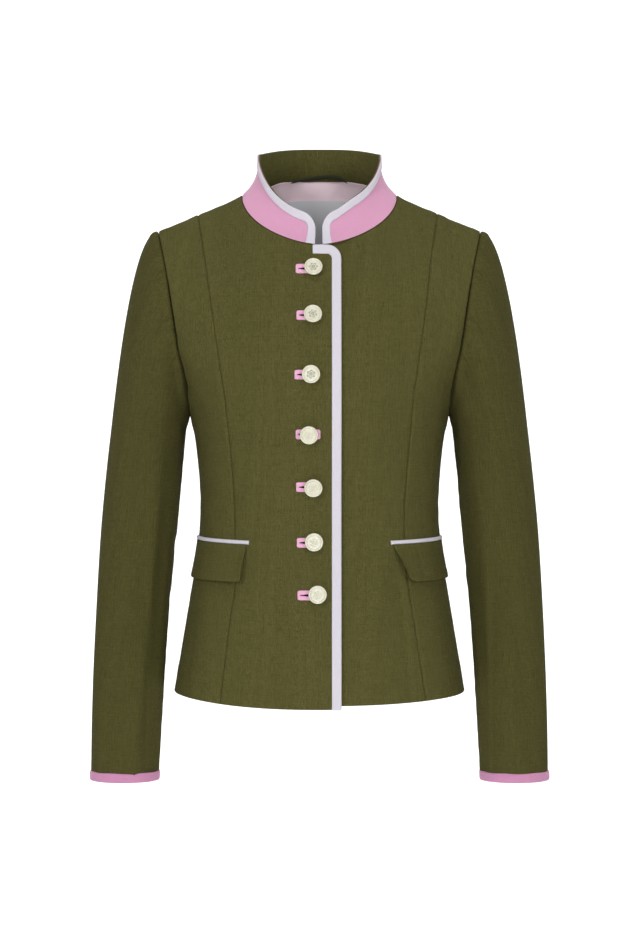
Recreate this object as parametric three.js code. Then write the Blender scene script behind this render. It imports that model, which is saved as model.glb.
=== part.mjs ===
import * as THREE from 'three';

// A linen jacket with a stand collar, worn with no wearer in it. Sizes are in millimetres.
// +Z is up, the front faces -Y and the wearer's left is +X. The origin lies midway between
// the two points where the shoulder seams meet the neck seam.

// Cloth walls and gaps
const CLOTH = 2;
const TRIM = 1.2;
const SEAM = 0.3;
const SEAT = 0.6;
const PANEL_TRIM = 0.21;

// Small steps over which a surface's slope is measured, and the highest that a panel reaches
const ANGLE_STEP = 0.002;
const TURN_STEP = 0.01;
const HEIGHT_STEP = 0.4;
const TOP_LIMIT = 90;
const HALVINGS = 50;

// Colours and finishes of the cloths and buttons
const OLIVE = { color: 0x58562f, roughness: 0.9 };
const ROSE = { color: 0xdaa0be, roughness: 0.6 };
const LILAC = { color: 0xd8d4de, roughness: 0.6 };
const BLUSH = { color: 0xcdb4bd, roughness: 0.5 };
const GREY = { color: 0x98989c, roughness: 0.5 };
const DARK_OLIVE = { color: 0x2b2d20, roughness: 0.7 };
const IVORY = { color: 0xe8e4cd, roughness: 0.35 };

// How full the level sections of the body are: 2 is an ellipse, more is squarer
const FULLNESS = 2.3;

// The body's level sections: half width, and depth before and behind the side seams
const BODY = table(['z', 'side', 'front', 'back'],
  [60, 150, 64, 68],
  [23, 150, 65, 72],
  [-20, 150, 68, 84],
  [-60, 150, 77, 94],
  [-100, 150, 92, 101],
  [-150, 148, 107, 103],
  [-200, 146, 116, 100],
  [-250, 145, 117, 95],
  [-270, 140.5, 114, 91.5],
  [-310, 136, 106, 86],
  [-350, 134, 99, 82.5],
  [-400, 137.5, 103, 89],
  [-450, 145.5, 111, 101],
  [-510, 155.5, 119, 114],
  [-575, 166, 125, 123]);

// The armhole seam from the shoulder tip down to the underarm, and its depth each way
const ARMHOLE = table(['z', 'x'],
  [-39, 182],
  [-77, 173],
  [-120, 165],
  [-168, 157],
  [-200, 150.5],
  [-236, 146],
  [-250, 145]);
const UNDERARM = -250;
const ARMHOLE_CROWN = -10;
const ARMHOLE_DEPTH = 66;
const ARMHOLE_TOP = 0.88;

// The shoulder line and the neck seam
const NECK_HALF = 88;
const SHOULDER_SLOPE = 0.415;
const NECK_RISE = 0.59;
const NECK_SOFTNESS = 5;
const FRONT_NECK_DROP = -60;
const FRONT_NECK_CURVE = 1.6;
const BACK_NECK_RISE = 23;
const BACK_NECK_CURVE = 2.2;
const NECK_MARGIN = 1;
const FRONT_ROUNDNESS = 140;
const BACK_ROUNDNESS = { neck: 60, tip: 100 };

// The seam over each bust, from the shoulder to the hem, on the wearer's right and left
const BUST_SEAM = table(['z', 'right', 'left'],
  [-20, 137, 133],
  [-80, 126.5, 123],
  [-130, 119, 117.5],
  [-185, 111, 110],
  [-220, 105.5, 105],
  [-320, 95.5, 96],
  [-380, 93.5, 94],
  [-435, 93, 98],
  [-467, 97.5, 103],
  [-500, 101.5, 108],
  [-560, 108, 116.5]);

// The hem, and the lap of the wearer's right front over the left one
const SIDE_HEM = -557.5;
const FRONT_HEM_DROP = { right: 11, left: 7 };
const LAP = 24;
const LAP_CORNER = 16;
const LAP_DEPTH = 3.2;
const LAP_START = 26;
const LAP_END = 46;

// Rows of the body panels below and above the underarm
const LOWER_ROWS = 13;
const UPPER_ROWS = 11;

// Sleeve sections: the outer and inner outline seen from the front, and the reach each way
const SLEEVE = table(['z', 'outer', 'inner', 'front', 'back'],
  [-262, 235.5, 150.5, 60, 60],
  [-308, 240.7, 155, 58, 57],
  [-376, 247, 161, 54.5, 51],
  [-444, 251, 168, 52.5, 44],
  [-512, 254, 173, 52.5, 36.5],
  [-580, 256, 177, 52.5, 30],
  [-655.5, 257, 181.2, 53, 25]);
const CAP_STEPS = [0, 0.03, 0.09, 0.2, 0.38, 0.6, 0.82, 1];
const CAP_ROLL = 0.46;
const CAP_EASE = 4;
const SLEEVE_ROWS = 9;
const CUFF = -655.5;
const CUFF_BINDING = 10;

// The stand collar: rise above the neck seam and lean inwards
const COLLAR = {
  front: 34,
  side: 46.5,
  back: 37.5,
  swell: 2,
  frontLean: 14,
  sideLean: 19,
  backLean: 12,
};
const COLLAR_FLARE = 3;
const COLLAR_RISING = 1.5;
// The left front stands a little higher, between two distances from the middle
const COLLAR_LEFT = { higher: 8, from: 10, to: 50 };
const COLLAR_FOOT = 8;
const COLLAR_END = { right: 5, left: 3.5 };
const COLLAR_CORNER = 18;
const COLLAR_ROWS = 6;
const COLLAR_END_COLUMNS = [0, 2, 5, 9, 14, 20];
const COLLAR_EVEN_FROM = 24;

// The braid, and where it starts on the top of the lap
const BRAID = 10.5;
const BRAID_START = -7.4;
const BRAID_INSET = 0.2;
const BRAID_STEPS = { end: 2, corner: 6, least: 4 };

// Buttons and bound buttonholes: centre of the button, start of the buttonhole, and height
const BUTTONS = table(['z', 'x', 'hole'],
  [-87.4, -6.6, -26.2],
  [-139.4, -7.1, -25.2],
  [-204.7, -9.1, -27.2],
  [-269.6, -11.2, -25.9],
  [-327, -6.6, -25.5],
  [-387.9, -5.8, -24.8],
  [-444.9, -2, -24]);
const HOLE = { length: 27, height: 10.7, slit: 1.4, end: 4, columns: 3 };
const BUTTON_PROFILE = table(['radius', 'height'],
  [0, 0],
  [2.5, 0],
  [2.5, 1.6],
  [9.7, 2.4],
  [10, 4.2],
  [9.1, 5],
  [7.7, 4.3],
  [0, 4.3]);
const BUTTON_SIDES = 14;

// Pocket flaps and the piping over them, on the wearer's right and left
const FLAP = {
  right: { top: 81, bottom: 87 },
  left: { top: 82, bottom: 99 },
  behind: 0.2,
  seenAt: -407.5,
  length: 130,
  columns: 9,
  rows: 3,
  frontZ: -390.5,
  sideZ: -385.5,
  depth: 42,
  stand: 3.4,
  sideStand: 0.6,
};
const PIPING = { height: 4, wall: 2, before: 2.5 };

// Inside the back neck
const FACING = { half: 70, below: 1, foot: -60, depth: 3.4, wall: 1, columns: 14, rows: 5 };
const LABEL = { half: 45, top: 5, foot: -56, depth: 5.7, wall: 0.8, columns: 9, rows: 4 };
const LOOP = { half: 40, foot: 3, rise: 9, width: 3.6, depth: 3.4, wall: 1.6, columns: 12 };

function table(columns, ...rows) {
  return rows.map((row) => Object.fromEntries(columns.map((name, i) => [name, row[i]])));
}

// A smooth curve through one column of a table whose z falls from row to row
function curve(rows, column) {
  const last = rows.length - 1;
  const slope = (i) => {
    const above = rows[Math.max(i - 1, 0)];
    const below = rows[Math.min(i + 1, last)];
    return (below[column] - above[column]) / (below.z - above.z);
  };
  return (z) => {
    if (z >= rows[0].z) return rows[0][column];
    if (z <= rows[last].z) return rows[last][column];
    const i = rows.findIndex((row) => row.z < z) - 1;
    const span = rows[i + 1].z - rows[i].z;
    const t = (z - rows[i].z) / span;
    const start = (1 + 2 * t) * (1 - t) ** 2 * rows[i][column] + t * (1 - t) ** 2 * span * slope(i);
    const end = t * t * (3 - 2 * t) * rows[i + 1][column] + t * t * (t - 1) * span * slope(i + 1);
    return start + end;
  };
}

const lerp = THREE.MathUtils.lerp;
const smoothstep = THREE.MathUtils.smoothstep;
const signedPower = (value, exponent) => Math.sign(value) * Math.abs(value) ** exponent;
const fractions = (count) => Array.from({ length: count + 1 }, (_, i) => i / count);

// The value at which a falling function crosses zero
function crossing(from, to, height) {
  let low = from;
  let high = to;
  for (let i = 0; i < HALVINGS; i += 1) {
    const middle = (low + high) / 2;
    if (height(middle) > 0) low = middle;
    else high = middle;
  }
  return (low + high) / 2;
}

// A quarter round that rises from 0 and is level from 1 on
function rounded(t) {
  if (Math.abs(t) >= 1) return Math.sign(t);
  return Math.sign(t) * Math.sqrt(1 - (1 - Math.abs(t)) ** 2);
}

const bodySide = curve(BODY, 'side');
const armholeX = curve(ARMHOLE, 'x');
const FRONT = { sign: -1, depth: curve(BODY, 'front'), roundness: () => FRONT_ROUNDNESS };
const BACK = {
  sign: 1,
  depth: curve(BODY, 'back'),
  roundness: (x) => lerp(BACK_ROUNDNESS.neck, BACK_ROUNDNESS.tip,
    smoothstep(Math.abs(x), NECK_HALF / 2, ARMHOLE[0].x)),
};

function shoulderHeight(x) {
  const inside = (NECK_HALF - Math.abs(x)) / NECK_SOFTNESS;
  const rise = NECK_SOFTNESS * Math.log(1 + Math.exp(inside));
  return NECK_RISE * rise - SHOULDER_SLOPE * (Math.abs(x) - NECK_HALF + 1);
}

// How far the armhole seam stands before or behind the side, before the shoulder rounds it off
function armholeReach(z) {
  const t = THREE.MathUtils.clamp((z - UNDERARM) / (ARMHOLE_CROWN - UNDERARM), 0, ARMHOLE_TOP);
  return ARMHOLE_DEPTH * Math.sqrt(1 - (1 - 2 * t) ** 2);
}

// Above the underarm a section is as wide as it must be to pass through the armhole seam
function halfWidth(z, depth) {
  if (z <= UNDERARM) return bodySide(z);
  const share = 1 - (armholeReach(z) / depth) ** FULLNESS;
  return armholeX(z) / share ** (1 / FULLNESS);
}

// A point of the body: angle 0 is the front middle, a quarter turn the side, a half turn the back
function bodySurface(angle, z) {
  const face = Math.cos(angle) >= 0 ? FRONT : BACK;
  const depth = face.depth(z);
  const x = halfWidth(z, depth) * signedPower(Math.sin(angle), 2 / FULLNESS);
  const round = rounded((shoulderHeight(x) - z) / face.roundness(x));
  const y = -depth * signedPower(Math.cos(angle), 2 / FULLNESS) * round;
  return new THREE.Vector3(x, y, z);
}

// The same point moved out from the cloth, on the wearer's left (side 1) or right (side -1)
function bodyPoint(side, angle, z, out) {
  const across = bodySurface(angle + ANGLE_STEP, z).sub(bodySurface(angle - ANGLE_STEP, z));
  const up = bodySurface(angle, z + HEIGHT_STEP).sub(bodySurface(angle, z - HEIGHT_STEP));
  const point = bodySurface(angle, z).addScaledVector(across.cross(up).normalize(), out);
  point.x *= side;
  return point;
}

function angleAt(face, x, z) {
  const share = Math.min(Math.abs(x) / halfWidth(z, face.depth(z)), 1);
  const angle = Math.sign(x) * Math.asin(share ** (FULLNESS / 2));
  return face === FRONT ? angle : Math.PI - angle;
}

// The neck seam from the middle to the shoulder, and beyond it the shoulder line
function topEdge(face, lap) {
  const corner = shoulderHeight(NECK_HALF);
  return (x) => {
    if (Math.abs(x) >= NECK_HALF) return shoulderHeight(x);
    const share = Math.abs(x) / NECK_HALF;
    if (face === BACK) return lerp(BACK_NECK_RISE, corner, share ** BACK_NECK_CURVE);
    if (x > 0) return corner + (FRONT_NECK_DROP - corner) * Math.sqrt(1 - share ** FRONT_NECK_CURVE);
    const inCorner = lap ? Math.max(LAP_CORNER - LAP - x, 0) : 0;
    return FRONT_NECK_DROP - LAP_CORNER + Math.sqrt(Math.max(LAP_CORNER ** 2 - inCorner ** 2, 0));
  };
}

// The grid of a body panel between two edges, outside and inside, rows from hem to top
function bodyPanel({ side, face, inner, outer, columns, hemDrop = 0, lap = false, under = false }) {
  const top = topEdge(face, lap);
  const angle = (share, z) => {
    const start = angleAt(face, inner(z), z);
    const end = angleAt(face, outer(z), z);
    const width = bodySurface(start, z).distanceTo(bodySurface(end, z));
    const trim = PANEL_TRIM / width;
    return lerp(start, end, lerp(trim, 1 - trim, share));
  };
  const xAt = (share, z) => bodySurface(angle(share, z), z).x;
  const topOf = (share) => crossing(UNDERARM, TOP_LIMIT, (z) => top(xAt(share, z)) - z);
  const neckShare = columns.neck
    ? crossing(0, 1, (share) => NECK_HALF - xAt(share, topOf(share)))
    : 0;
  const shares = [
    ...(columns.neck ? fractions(columns.neck).map((t) => neckShare * Math.sin(t * Math.PI / 2)) : [0]),
    ...fractions(columns.shoulder).slice(1).map((t) => lerp(neckShare, 1, t)),
  ];
  const rowHeights = (share) => {
    const drop = hemDrop * Math.max(Math.cos(angle(share, SIDE_HEM)), 0) ** 2;
    const below = fractions(LOWER_ROWS).map((t) => lerp(SIDE_HEM - drop, UNDERARM, t));
    const eased = fractions(UPPER_ROWS).slice(1).map((t) => (1 - Math.cos(t * Math.PI)) / 2);
    return [...below, ...eased.map((t) => lerp(UNDERARM, topOf(share), t))];
  };
  const heights = shares.map(rowHeights);
  const dipped = (x) => (under ? LAP_DEPTH * (1 - smoothstep(x, LAP_START, LAP_END)) : 0);
  const layer = (depth) => heights[0].map((_, row) => shares.map((share, i) => {
    const z = heights[i][row];
    const point = bodyPoint(side, angle(share, z), z, -depth - dipped(xAt(share, z)));
    point.y = face.sign * Math.max(face.sign * point.y, SEAM / 2);
    return point;
  }));
  return { outside: layer(0), inside: layer(CLOTH) };
}

// A closed wall between two grids of points. A closed ring joins its last column to its first,
// and keep leaves out cells, so that the wall has a hole there.
function wall({ outside, inside, ring = false, keep = () => true }) {
  const rows = outside.length;
  const columns = outside[0].length;
  const lastRow = rows - 2;
  const lastColumn = ring ? columns - 1 : columns - 2;
  const positions = [...outside.flat(), ...inside.flat()].flatMap((p) => [p.x, p.y, p.z]);
  const out = (row, column) => row * columns + (column % columns);
  const back = (row, column) => rows * columns + out(row, column);
  const kept = (row, column) => {
    if (row < 0 || row > lastRow) return false;
    if (ring) return keep(row, (column + columns) % columns);
    return column >= 0 && column <= lastColumn && keep(row, column);
  };
  const faces = [];
  const quad = (a, b, c, d) => faces.push(a, b, c, a, c, d);
  for (let row = 0; row <= lastRow; row += 1) {
    for (let column = 0; column <= lastColumn; column += 1) {
      if (!kept(row, column)) continue;
      const corners = [[row, column], [row, column + 1], [row + 1, column + 1], [row + 1, column]];
      quad(...corners.map((corner) => out(...corner)));
      quad(...corners.map((corner) => back(...corner)).reverse());
      const beside = [[row - 1, column], [row, column + 1], [row + 1, column], [row, column - 1]];
      beside.forEach((cell, i) => {
        if (kept(...cell)) return;
        const from = corners[i];
        const to = corners[(i + 1) % 4];
        quad(out(...to), out(...from), back(...from), back(...to));
      });
    }
  }
  const geometry = new THREE.BufferGeometry();
  geometry.setAttribute('position', new THREE.Float32BufferAttribute(positions, 3));
  geometry.setIndex(facingOut(positions, faces));
  geometry.computeVertexNormals();
  return geometry;
}

// Turns the faces round where the volume that they enclose comes out negative
function facingOut(positions, faces) {
  const corner = (i) => new THREE.Vector3().fromArray(positions, 3 * i);
  let volume = 0;
  for (let i = 0; i < faces.length; i += 3) {
    volume += corner(faces[i]).dot(corner(faces[i + 1]).cross(corner(faces[i + 2])));
  }
  return volume < 0 ? faces.reverse() : faces;
}

const jacket = new THREE.Group();

function add(name, geometry, finish) {
  const mesh = new THREE.Mesh(geometry, new THREE.MeshStandardMaterial({ ...finish, metalness: 0 }));
  mesh.name = name;
  jacket.add(mesh);
  return mesh;
}

const SIDES = [{ name: 'right', sign: -1 }, { name: 'left', sign: 1 }];

// Centre fronts, side fronts and backs
const centreFronts = {};
const backs = {};
for (const { name, sign } of SIDES) {
  const bustSeam = curve(BUST_SEAM, name);
  const outerEdge = (z) => (z > UNDERARM ? armholeX(z) : bodySide(z));
  centreFronts[name] = bodyPanel({
    side: sign,
    face: FRONT,
    inner: () => -LAP,
    outer: bustSeam,
    columns: { neck: 8, shoulder: 3 },
    hemDrop: FRONT_HEM_DROP[name],
    lap: name === 'right',
    under: name === 'left',
  });
  const sideFront = bodyPanel({
    side: sign,
    face: FRONT,
    inner: bustSeam,
    outer: outerEdge,
    columns: { shoulder: 6 },
    hemDrop: FRONT_HEM_DROP[name],
  });
  backs[name] = bodyPanel({
    side: sign,
    face: BACK,
    inner: () => 0,
    outer: outerEdge,
    columns: { neck: 6, shoulder: 6 },
  });
  add(`front_${name}_centre`, wall(centreFronts[name]), OLIVE);
  add(`side_front_${name}`, wall(sideFront), OLIVE);
  add(`back_${name}`, wall(backs[name]), OLIVE);
}

// Sleeve: the cap runs from the armhole seam to the upper arm, and the tube from there to the cuff
const sleeveAt = Object.fromEntries(['outer', 'inner', 'front', 'back']
  .map((column) => [column, curve(SLEEVE, column)]));

function sleeveSection(turn, z) {
  const middle = (sleeveAt.outer(z) + sleeveAt.inner(z)) / 2;
  const half = (sleeveAt.outer(z) - sleeveAt.inner(z)) / 2;
  const centre = (sleeveAt.back(z) - sleeveAt.front(z)) / 2;
  const reach = (sleeveAt.back(z) + sleeveAt.front(z)) / 2;
  return new THREE.Vector3(middle + half * Math.cos(turn), centre - reach * Math.sin(turn), z);
}

function armholeSeam(turn) {
  const tip = ARMHOLE[0].z;
  const z = lerp(UNDERARM, tip, (1 + Math.cos(turn)) / 2);
  const x = armholeX(z);
  const face = Math.sin(turn) >= 0 ? FRONT : BACK;
  const round = rounded(Math.max(shoulderHeight(x) - z, 0) / face.roundness(x));
  return new THREE.Vector3(x + SEAM, face.sign * armholeReach(z) * round, z);
}

function capPoint(turn, share) {
  const start = armholeSeam(turn);
  const end = sleeveSection(turn, SLEEVE[0].z);
  const ease = CAP_EASE * Math.sin(share * Math.PI) * Math.sin(turn);
  return new THREE.Vector3(
    lerp(start.x, end.x, share ** CAP_ROLL),
    lerp(start.y, end.y, share) - ease,
    lerp(start.z, end.z, share));
}

function sleeveGrid(side, from, to) {
  const turns = fractions(2 * UPPER_ROWS).slice(0, -1).map((t) => t * 2 * Math.PI);
  const heights = fractions(SLEEVE_ROWS).slice(1).map((t) => lerp(SLEEVE[0].z, CUFF, t));
  const surface = [
    ...CAP_STEPS.map((share) => (turn) => capPoint(turn, share)),
    ...heights.map((z) => (turn) => sleeveSection(turn, z)),
  ];
  const layer = (out) => surface.map((point, row) => turns.map((turn) => {
    const above = surface[Math.max(row - 1, 0)](turn);
    const below = surface[Math.min(row + 1, surface.length - 1)](turn);
    const around = point(turn + TURN_STEP).sub(point(turn - TURN_STEP));
    const normal = above.sub(below).cross(around);
    if (row === 0) normal.x = 0;
    const moved = point(turn).addScaledVector(normal.normalize(), out);
    moved.x *= side;
    return moved;
  }));
  return { outside: layer(from), inside: layer(to), ring: true };
}

for (const { name, sign } of SIDES) {
  add(`sleeve_${name}`, wall(sleeveGrid(sign, 0, -CLOTH)), OLIVE);
}

// Cuff binding: a ring round the foot of the sleeve
function cuffBinding(side) {
  const turns = fractions(2 * UPPER_ROWS).slice(0, -1).map((t) => t * 2 * Math.PI);
  const ring = (z, out) => turns.map((turn) => {
    const point = sleeveSection(turn, z);
    point.x += out * Math.cos(turn);
    point.y -= out * Math.sin(turn);
    point.x *= side;
    return point;
  });
  const layer = (out) => [0, CUFF_BINDING].map((up) => ring(CUFF - SEAM + up, out));
  return wall({ outside: layer(SEAT + TRIM), inside: layer(SEAT), ring: true });
}

for (const { name, sign } of SIDES) add(`cuff_binding_${name}`, cuffBinding(sign), ROSE);

// Neck seam: the top points of the panels, from the right collar end round the back to the left
function neckSeam() {
  const fromFront = (name) => {
    const top = centreFronts[name].outside.at(-1);
    const outwards = top.map((point) => point.x * sideOf(name));
    const end = COLLAR_END[name];
    const after = outwards.findIndex((x) => x > end);
    const share = (end - outwards[after - 1]) / (outwards[after] - outwards[after - 1]);
    const first = top[after - 1].clone().lerp(top[after], share);
    const shoulder = top.filter((point) => Math.abs(point.x) < NECK_HALF + NECK_MARGIN);
    return [first, ...shoulder.slice(after)];
  };
  const fromBack = (name) => backs[name].outside.at(-1)
    .filter((point) => Math.abs(point.x) < NECK_HALF - NECK_MARGIN);
  return [
    ...fromFront('right'),
    ...fromBack('right').reverse(),
    ...fromBack('left').slice(1),
    ...fromFront('left').reverse(),
  ];
}

function sideOf(name) {
  return SIDES.find((side) => side.name === name).sign;
}

const neck = neckSeam();
const neckLengths = neck.map((point, i) => (i ? point.distanceTo(neck[i - 1]) : 0));
const neckStations = neckLengths.map((_, i) => neckLengths.slice(0, i + 1).reduce((a, b) => a + b));
const NECK_LENGTH = neckStations.at(-1);

function neckPoint(along) {
  const i = THREE.MathUtils.clamp(neckStations.findIndex((at) => at >= along), 1, neck.length - 1);
  const share = (along - neckStations[i - 1]) / neckLengths[i];
  return neck[i - 1].clone().lerp(neck[i], share);
}

function collarRise(along) {
  const foot = neckPoint(along);
  const share = (foot.x / NECK_HALF) ** 2;
  if (foot.y < 0) {
    const higher = COLLAR_LEFT.higher * smoothstep(foot.x, COLLAR_LEFT.from, COLLAR_LEFT.to);
    return lerp(COLLAR.front, COLLAR.side, share ** COLLAR_RISING) + higher * (1 - share);
  }
  return lerp(COLLAR.back, COLLAR.side, share) + COLLAR.swell * share * Math.max(1 - share, 0);
}

// The collar's top is rounded down to its front ends
function collarTop(along) {
  const fromEnd = Math.min(along, NECK_LENGTH - along);
  const inCorner = Math.max(COLLAR_CORNER - fromEnd, 0);
  return collarRise(along) - COLLAR_CORNER + Math.sqrt(Math.max(COLLAR_CORNER ** 2 - inCorner ** 2, 0));
}

// A point of the collar, some way along the neck seam, above it, and out from the outer face
function collarPoint(along, height, out) {
  const foot = neckPoint(along);
  const share = Math.abs(foot.x) / NECK_HALF;
  const rise = collarRise(along);
  const lean = lerp(foot.y < 0 ? COLLAR.frontLean : COLLAR.backLean, COLLAR.sideLean, share ** 2);
  const left = 1 - Math.min(height / rise, 1);
  const outward = new THREE.Vector3(foot.x, foot.y, 0).normalize();
  const turned = Math.min(height / COLLAR_FOOT, 1);
  const tilt = turned * lean * COLLAR_FLARE * left ** (COLLAR_FLARE - 1) / rise;
  const normal = outward.clone().setZ(tilt).normalize();
  return foot
    .addScaledVector(outward, -lean * (1 - left ** COLLAR_FLARE))
    .add(new THREE.Vector3(0, 0, SEAM + height))
    .addScaledVector(normal, out);
}

const COLLAR_COLUMNS = [
  ...COLLAR_END_COLUMNS,
  ...neckStations.filter((at) => at > COLLAR_EVEN_FROM && at < NECK_LENGTH - COLLAR_EVEN_FROM),
  ...COLLAR_END_COLUMNS.map((at) => NECK_LENGTH - at).reverse(),
];

function collarLayer(from, to) {
  const layer = (out) => fractions(COLLAR_ROWS).map((share) => COLLAR_COLUMNS
    .map((along) => collarPoint(along, share * collarTop(along), out)));
  return { outside: layer(from), inside: layer(to) };
}

add('collar_outer', wall(collarLayer(0, -TRIM)), ROSE);
add('collar_inner', wall(collarLayer(-TRIM - SEAT, -2 * TRIM - SEAT)), OLIVE);

// Collar braid: up the front end, round the corner and along the top to the middle of the back
function collarBraid(name) {
  const fromEnd = (along) => (name === 'right' ? along : NECK_LENGTH - along);
  const top = (along) => collarTop(fromEnd(along));
  const middle = (NECK_LENGTH - SEAM) / 2;
  const stations = neckStations.map(fromEnd).sort((a, b) => a - b);
  const turnAt = top(COLLAR_CORNER) - COLLAR_CORNER;
  const inner = COLLAR_CORNER - BRAID;
  const path = [
    ...fractions(BRAID_STEPS.end).slice(0, -1).map((t) => [[0, t * turnAt], [BRAID, t * turnAt]]),
    ...fractions(BRAID_STEPS.corner).map((t) => {
      const sine = Math.sin(t * Math.PI / 2);
      const cosine = Math.cos(t * Math.PI / 2);
      return [
        [COLLAR_CORNER * (1 - cosine), turnAt + COLLAR_CORNER * sine],
        [COLLAR_CORNER - inner * cosine, turnAt + inner * sine],
      ];
    }),
    ...[...stations.filter((at) => at > COLLAR_EVEN_FROM && at < middle - BRAID_STEPS.least), middle]
      .map((at) => [[at, top(at)], [at, top(at) - BRAID]]),
  ];
  const layer = (out) => [0, 1].map((edge) => path
    .map((pair) => collarPoint(fromEnd(pair[edge][0]), pair[edge][1], out)));
  return wall({ outside: layer(SEAT + TRIM), inside: layer(SEAT) });
}

for (const { name } of SIDES) add(`collar_band_${name}`, collarBraid(name), LILAC);

// A point on the front by its place seen from the front
function frontPoint(x, z, out) {
  return bodyPoint(1, angleAt(FRONT, x, z), z, out);
}

// Front braid: along the top of the lap, round its corner and down its edge to the hem
function frontBraid() {
  const corner = { x: LAP - LAP_CORNER, z: FRONT_NECK_DROP - LAP_CORNER };
  const inner = LAP_CORNER - BRAID;
  const hem = SIDE_HEM - FRONT_HEM_DROP.right;
  const rowsDown = centreFronts.right.outside.map((row) => row[0].z).reverse()
    .filter((z) => z < corner.z - BRAID_STEPS.least && z > hem + BRAID_STEPS.least);
  const path = [
    ...fractions(BRAID_STEPS.end).slice(0, -1).map((t) => {
      const x = lerp(BRAID_START, corner.x, t);
      return [[x, FRONT_NECK_DROP - BRAID_INSET], [x, FRONT_NECK_DROP - BRAID]];
    }),
    ...fractions(BRAID_STEPS.corner).map((t) => {
      const sine = Math.sin(t * Math.PI / 2);
      const cosine = Math.cos(t * Math.PI / 2);
      return [
        [corner.x + LAP_CORNER * sine, corner.z + LAP_CORNER * cosine],
        [corner.x + inner * sine, corner.z + inner * cosine],
      ];
    }),
    ...[...rowsDown, hem].map((z) => [[LAP, z], [LAP - BRAID, z]]),
  ];
  const layer = (out) => [0, 1].map((edge) => path.map((pair) => frontPoint(...pair[edge], out)));
  return wall({ outside: layer(SEAT + TRIM), inside: layer(SEAT) });
}

add('front_band', frontBraid(), LILAC);

// Bound buttonhole: two welts with a slit between them, joined at their ends
function buttonhole({ z, hole }) {
  const slit = fractions(HOLE.columns).map((t) => lerp(HOLE.end, HOLE.length - HOLE.end, t));
  const across = [0, ...slit, HOLE.length];
  const up = [-HOLE.height / 2, -HOLE.slit / 2, HOLE.slit / 2, HOLE.height / 2];
  const layer = (out) => up.map((rise) => across.map((along) => frontPoint(hole + along, z + rise, out)));
  const inSlit = (row, column) => row === 1 && column > 0 && column < across.length - 2;
  return wall({
    outside: layer(SEAT + TRIM),
    inside: layer(SEAT),
    keep: (row, column) => !inSlit(row, column),
  });
}

BUTTONS.forEach((button, i) => add(`buttonhole_${i + 1}`, buttonhole(button), ROSE));

// Button: a disc with a raised rim on a short shank, square to the cloth under it
function placeButton(mesh, { x, z }) {
  const foot = frontPoint(x, z, 0);
  const normal = frontPoint(x, z, 1).sub(foot);
  mesh.quaternion.setFromUnitVectors(new THREE.Vector3(0, 1, 0), normal);
  mesh.position.copy(foot).addScaledVector(normal, SEAT + TRIM + SEAM);
}

BUTTONS.forEach((button, i) => {
  const profile = BUTTON_PROFILE.map((row) => new THREE.Vector2(row.radius, row.height));
  const mesh = add(`button_${i + 1}`, new THREE.LatheGeometry(profile, BUTTON_SIDES), IVORY);
  placeButton(mesh, button);
});

// Pocket flap: hangs from the piping, wraps round the side and stands off at its foot
function flapAngle(name, share, down) {
  const start = angleAt(FRONT, lerp(FLAP[name].top, FLAP[name].bottom, down), FLAP.seenAt);
  return lerp(start, Math.PI / 2 + FLAP.behind, share);
}

function flapZ(share, down) {
  return lerp(FLAP.frontZ, FLAP.sideZ, share) - down * FLAP.depth;
}

function pocketFlap(name, sign) {
  const layer = (out) => fractions(FLAP.rows).map((down) => fractions(FLAP.columns).map((share) => {
    const stand = SEAT + lerp(FLAP.stand, FLAP.sideStand, share) * Math.sin(down * Math.PI / 2);
    return bodyPoint(sign, flapAngle(name, share, down), flapZ(share, down), stand + out);
  }));
  return wall({ outside: layer(CLOTH), inside: layer(0) });
}

function pocketPiping(name, sign) {
  const layer = (out) => [SEAM, SEAM + PIPING.height].map((up) => fractions(FLAP.columns).map((share) => {
    const before = PIPING.before / FLAP.length * (1 - share);
    const angle = flapAngle(name, share - before, 0);
    return bodyPoint(sign, angle, flapZ(share, 0) + up, out);
  }));
  return wall({ outside: layer(SEAT + PIPING.wall), inside: layer(SEAT) });
}

for (const { name, sign } of SIDES) {
  add(`pocket_flap_${name}`, pocketFlap(name, sign), OLIVE);
  add(`pocket_piping_${name}`, pocketPiping(name, sign), LILAC);
}

// Facing and label: they line the back neck from the inside
function backLining({ half, foot, depth, wall: thickness, columns, rows }, topOf) {
  const layer = (out) => fractions(rows).map((down) => fractions(columns).map((share) => {
    const x = lerp(-half, half, share);
    const z = lerp(topOf(x), foot, down);
    return bodyPoint(1, angleAt(BACK, x, z), z, -out);
  }));
  return wall({ outside: layer(depth), inside: layer(depth + thickness) });
}

const backNeck = topEdge(BACK, false);
add('back_neck_facing', backLining(FACING, (x) => backNeck(x) - FACING.below), BLUSH);
add('label', backLining(LABEL, () => LABEL.top), GREY);

// Hanging loop: a flat cord that arches over the inside of the back collar
function hangingLoop() {
  const layer = (out) => [0, LOOP.width].map((up) => fractions(LOOP.columns).map((share) => {
    const across = lerp(-LOOP.half, LOOP.half, share);
    const height = LOOP.foot + LOOP.rise * (1 - (across / LOOP.half) ** 2) + up;
    return collarPoint(NECK_LENGTH / 2 + across, height, -out);
  }));
  return wall({ outside: layer(LOOP.depth), inside: layer(LOOP.depth + LOOP.wall) });
}

add('hanger_loop', hangingLoop(), DARK_OLIVE);

export default jacket;
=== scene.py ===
import math

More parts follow.
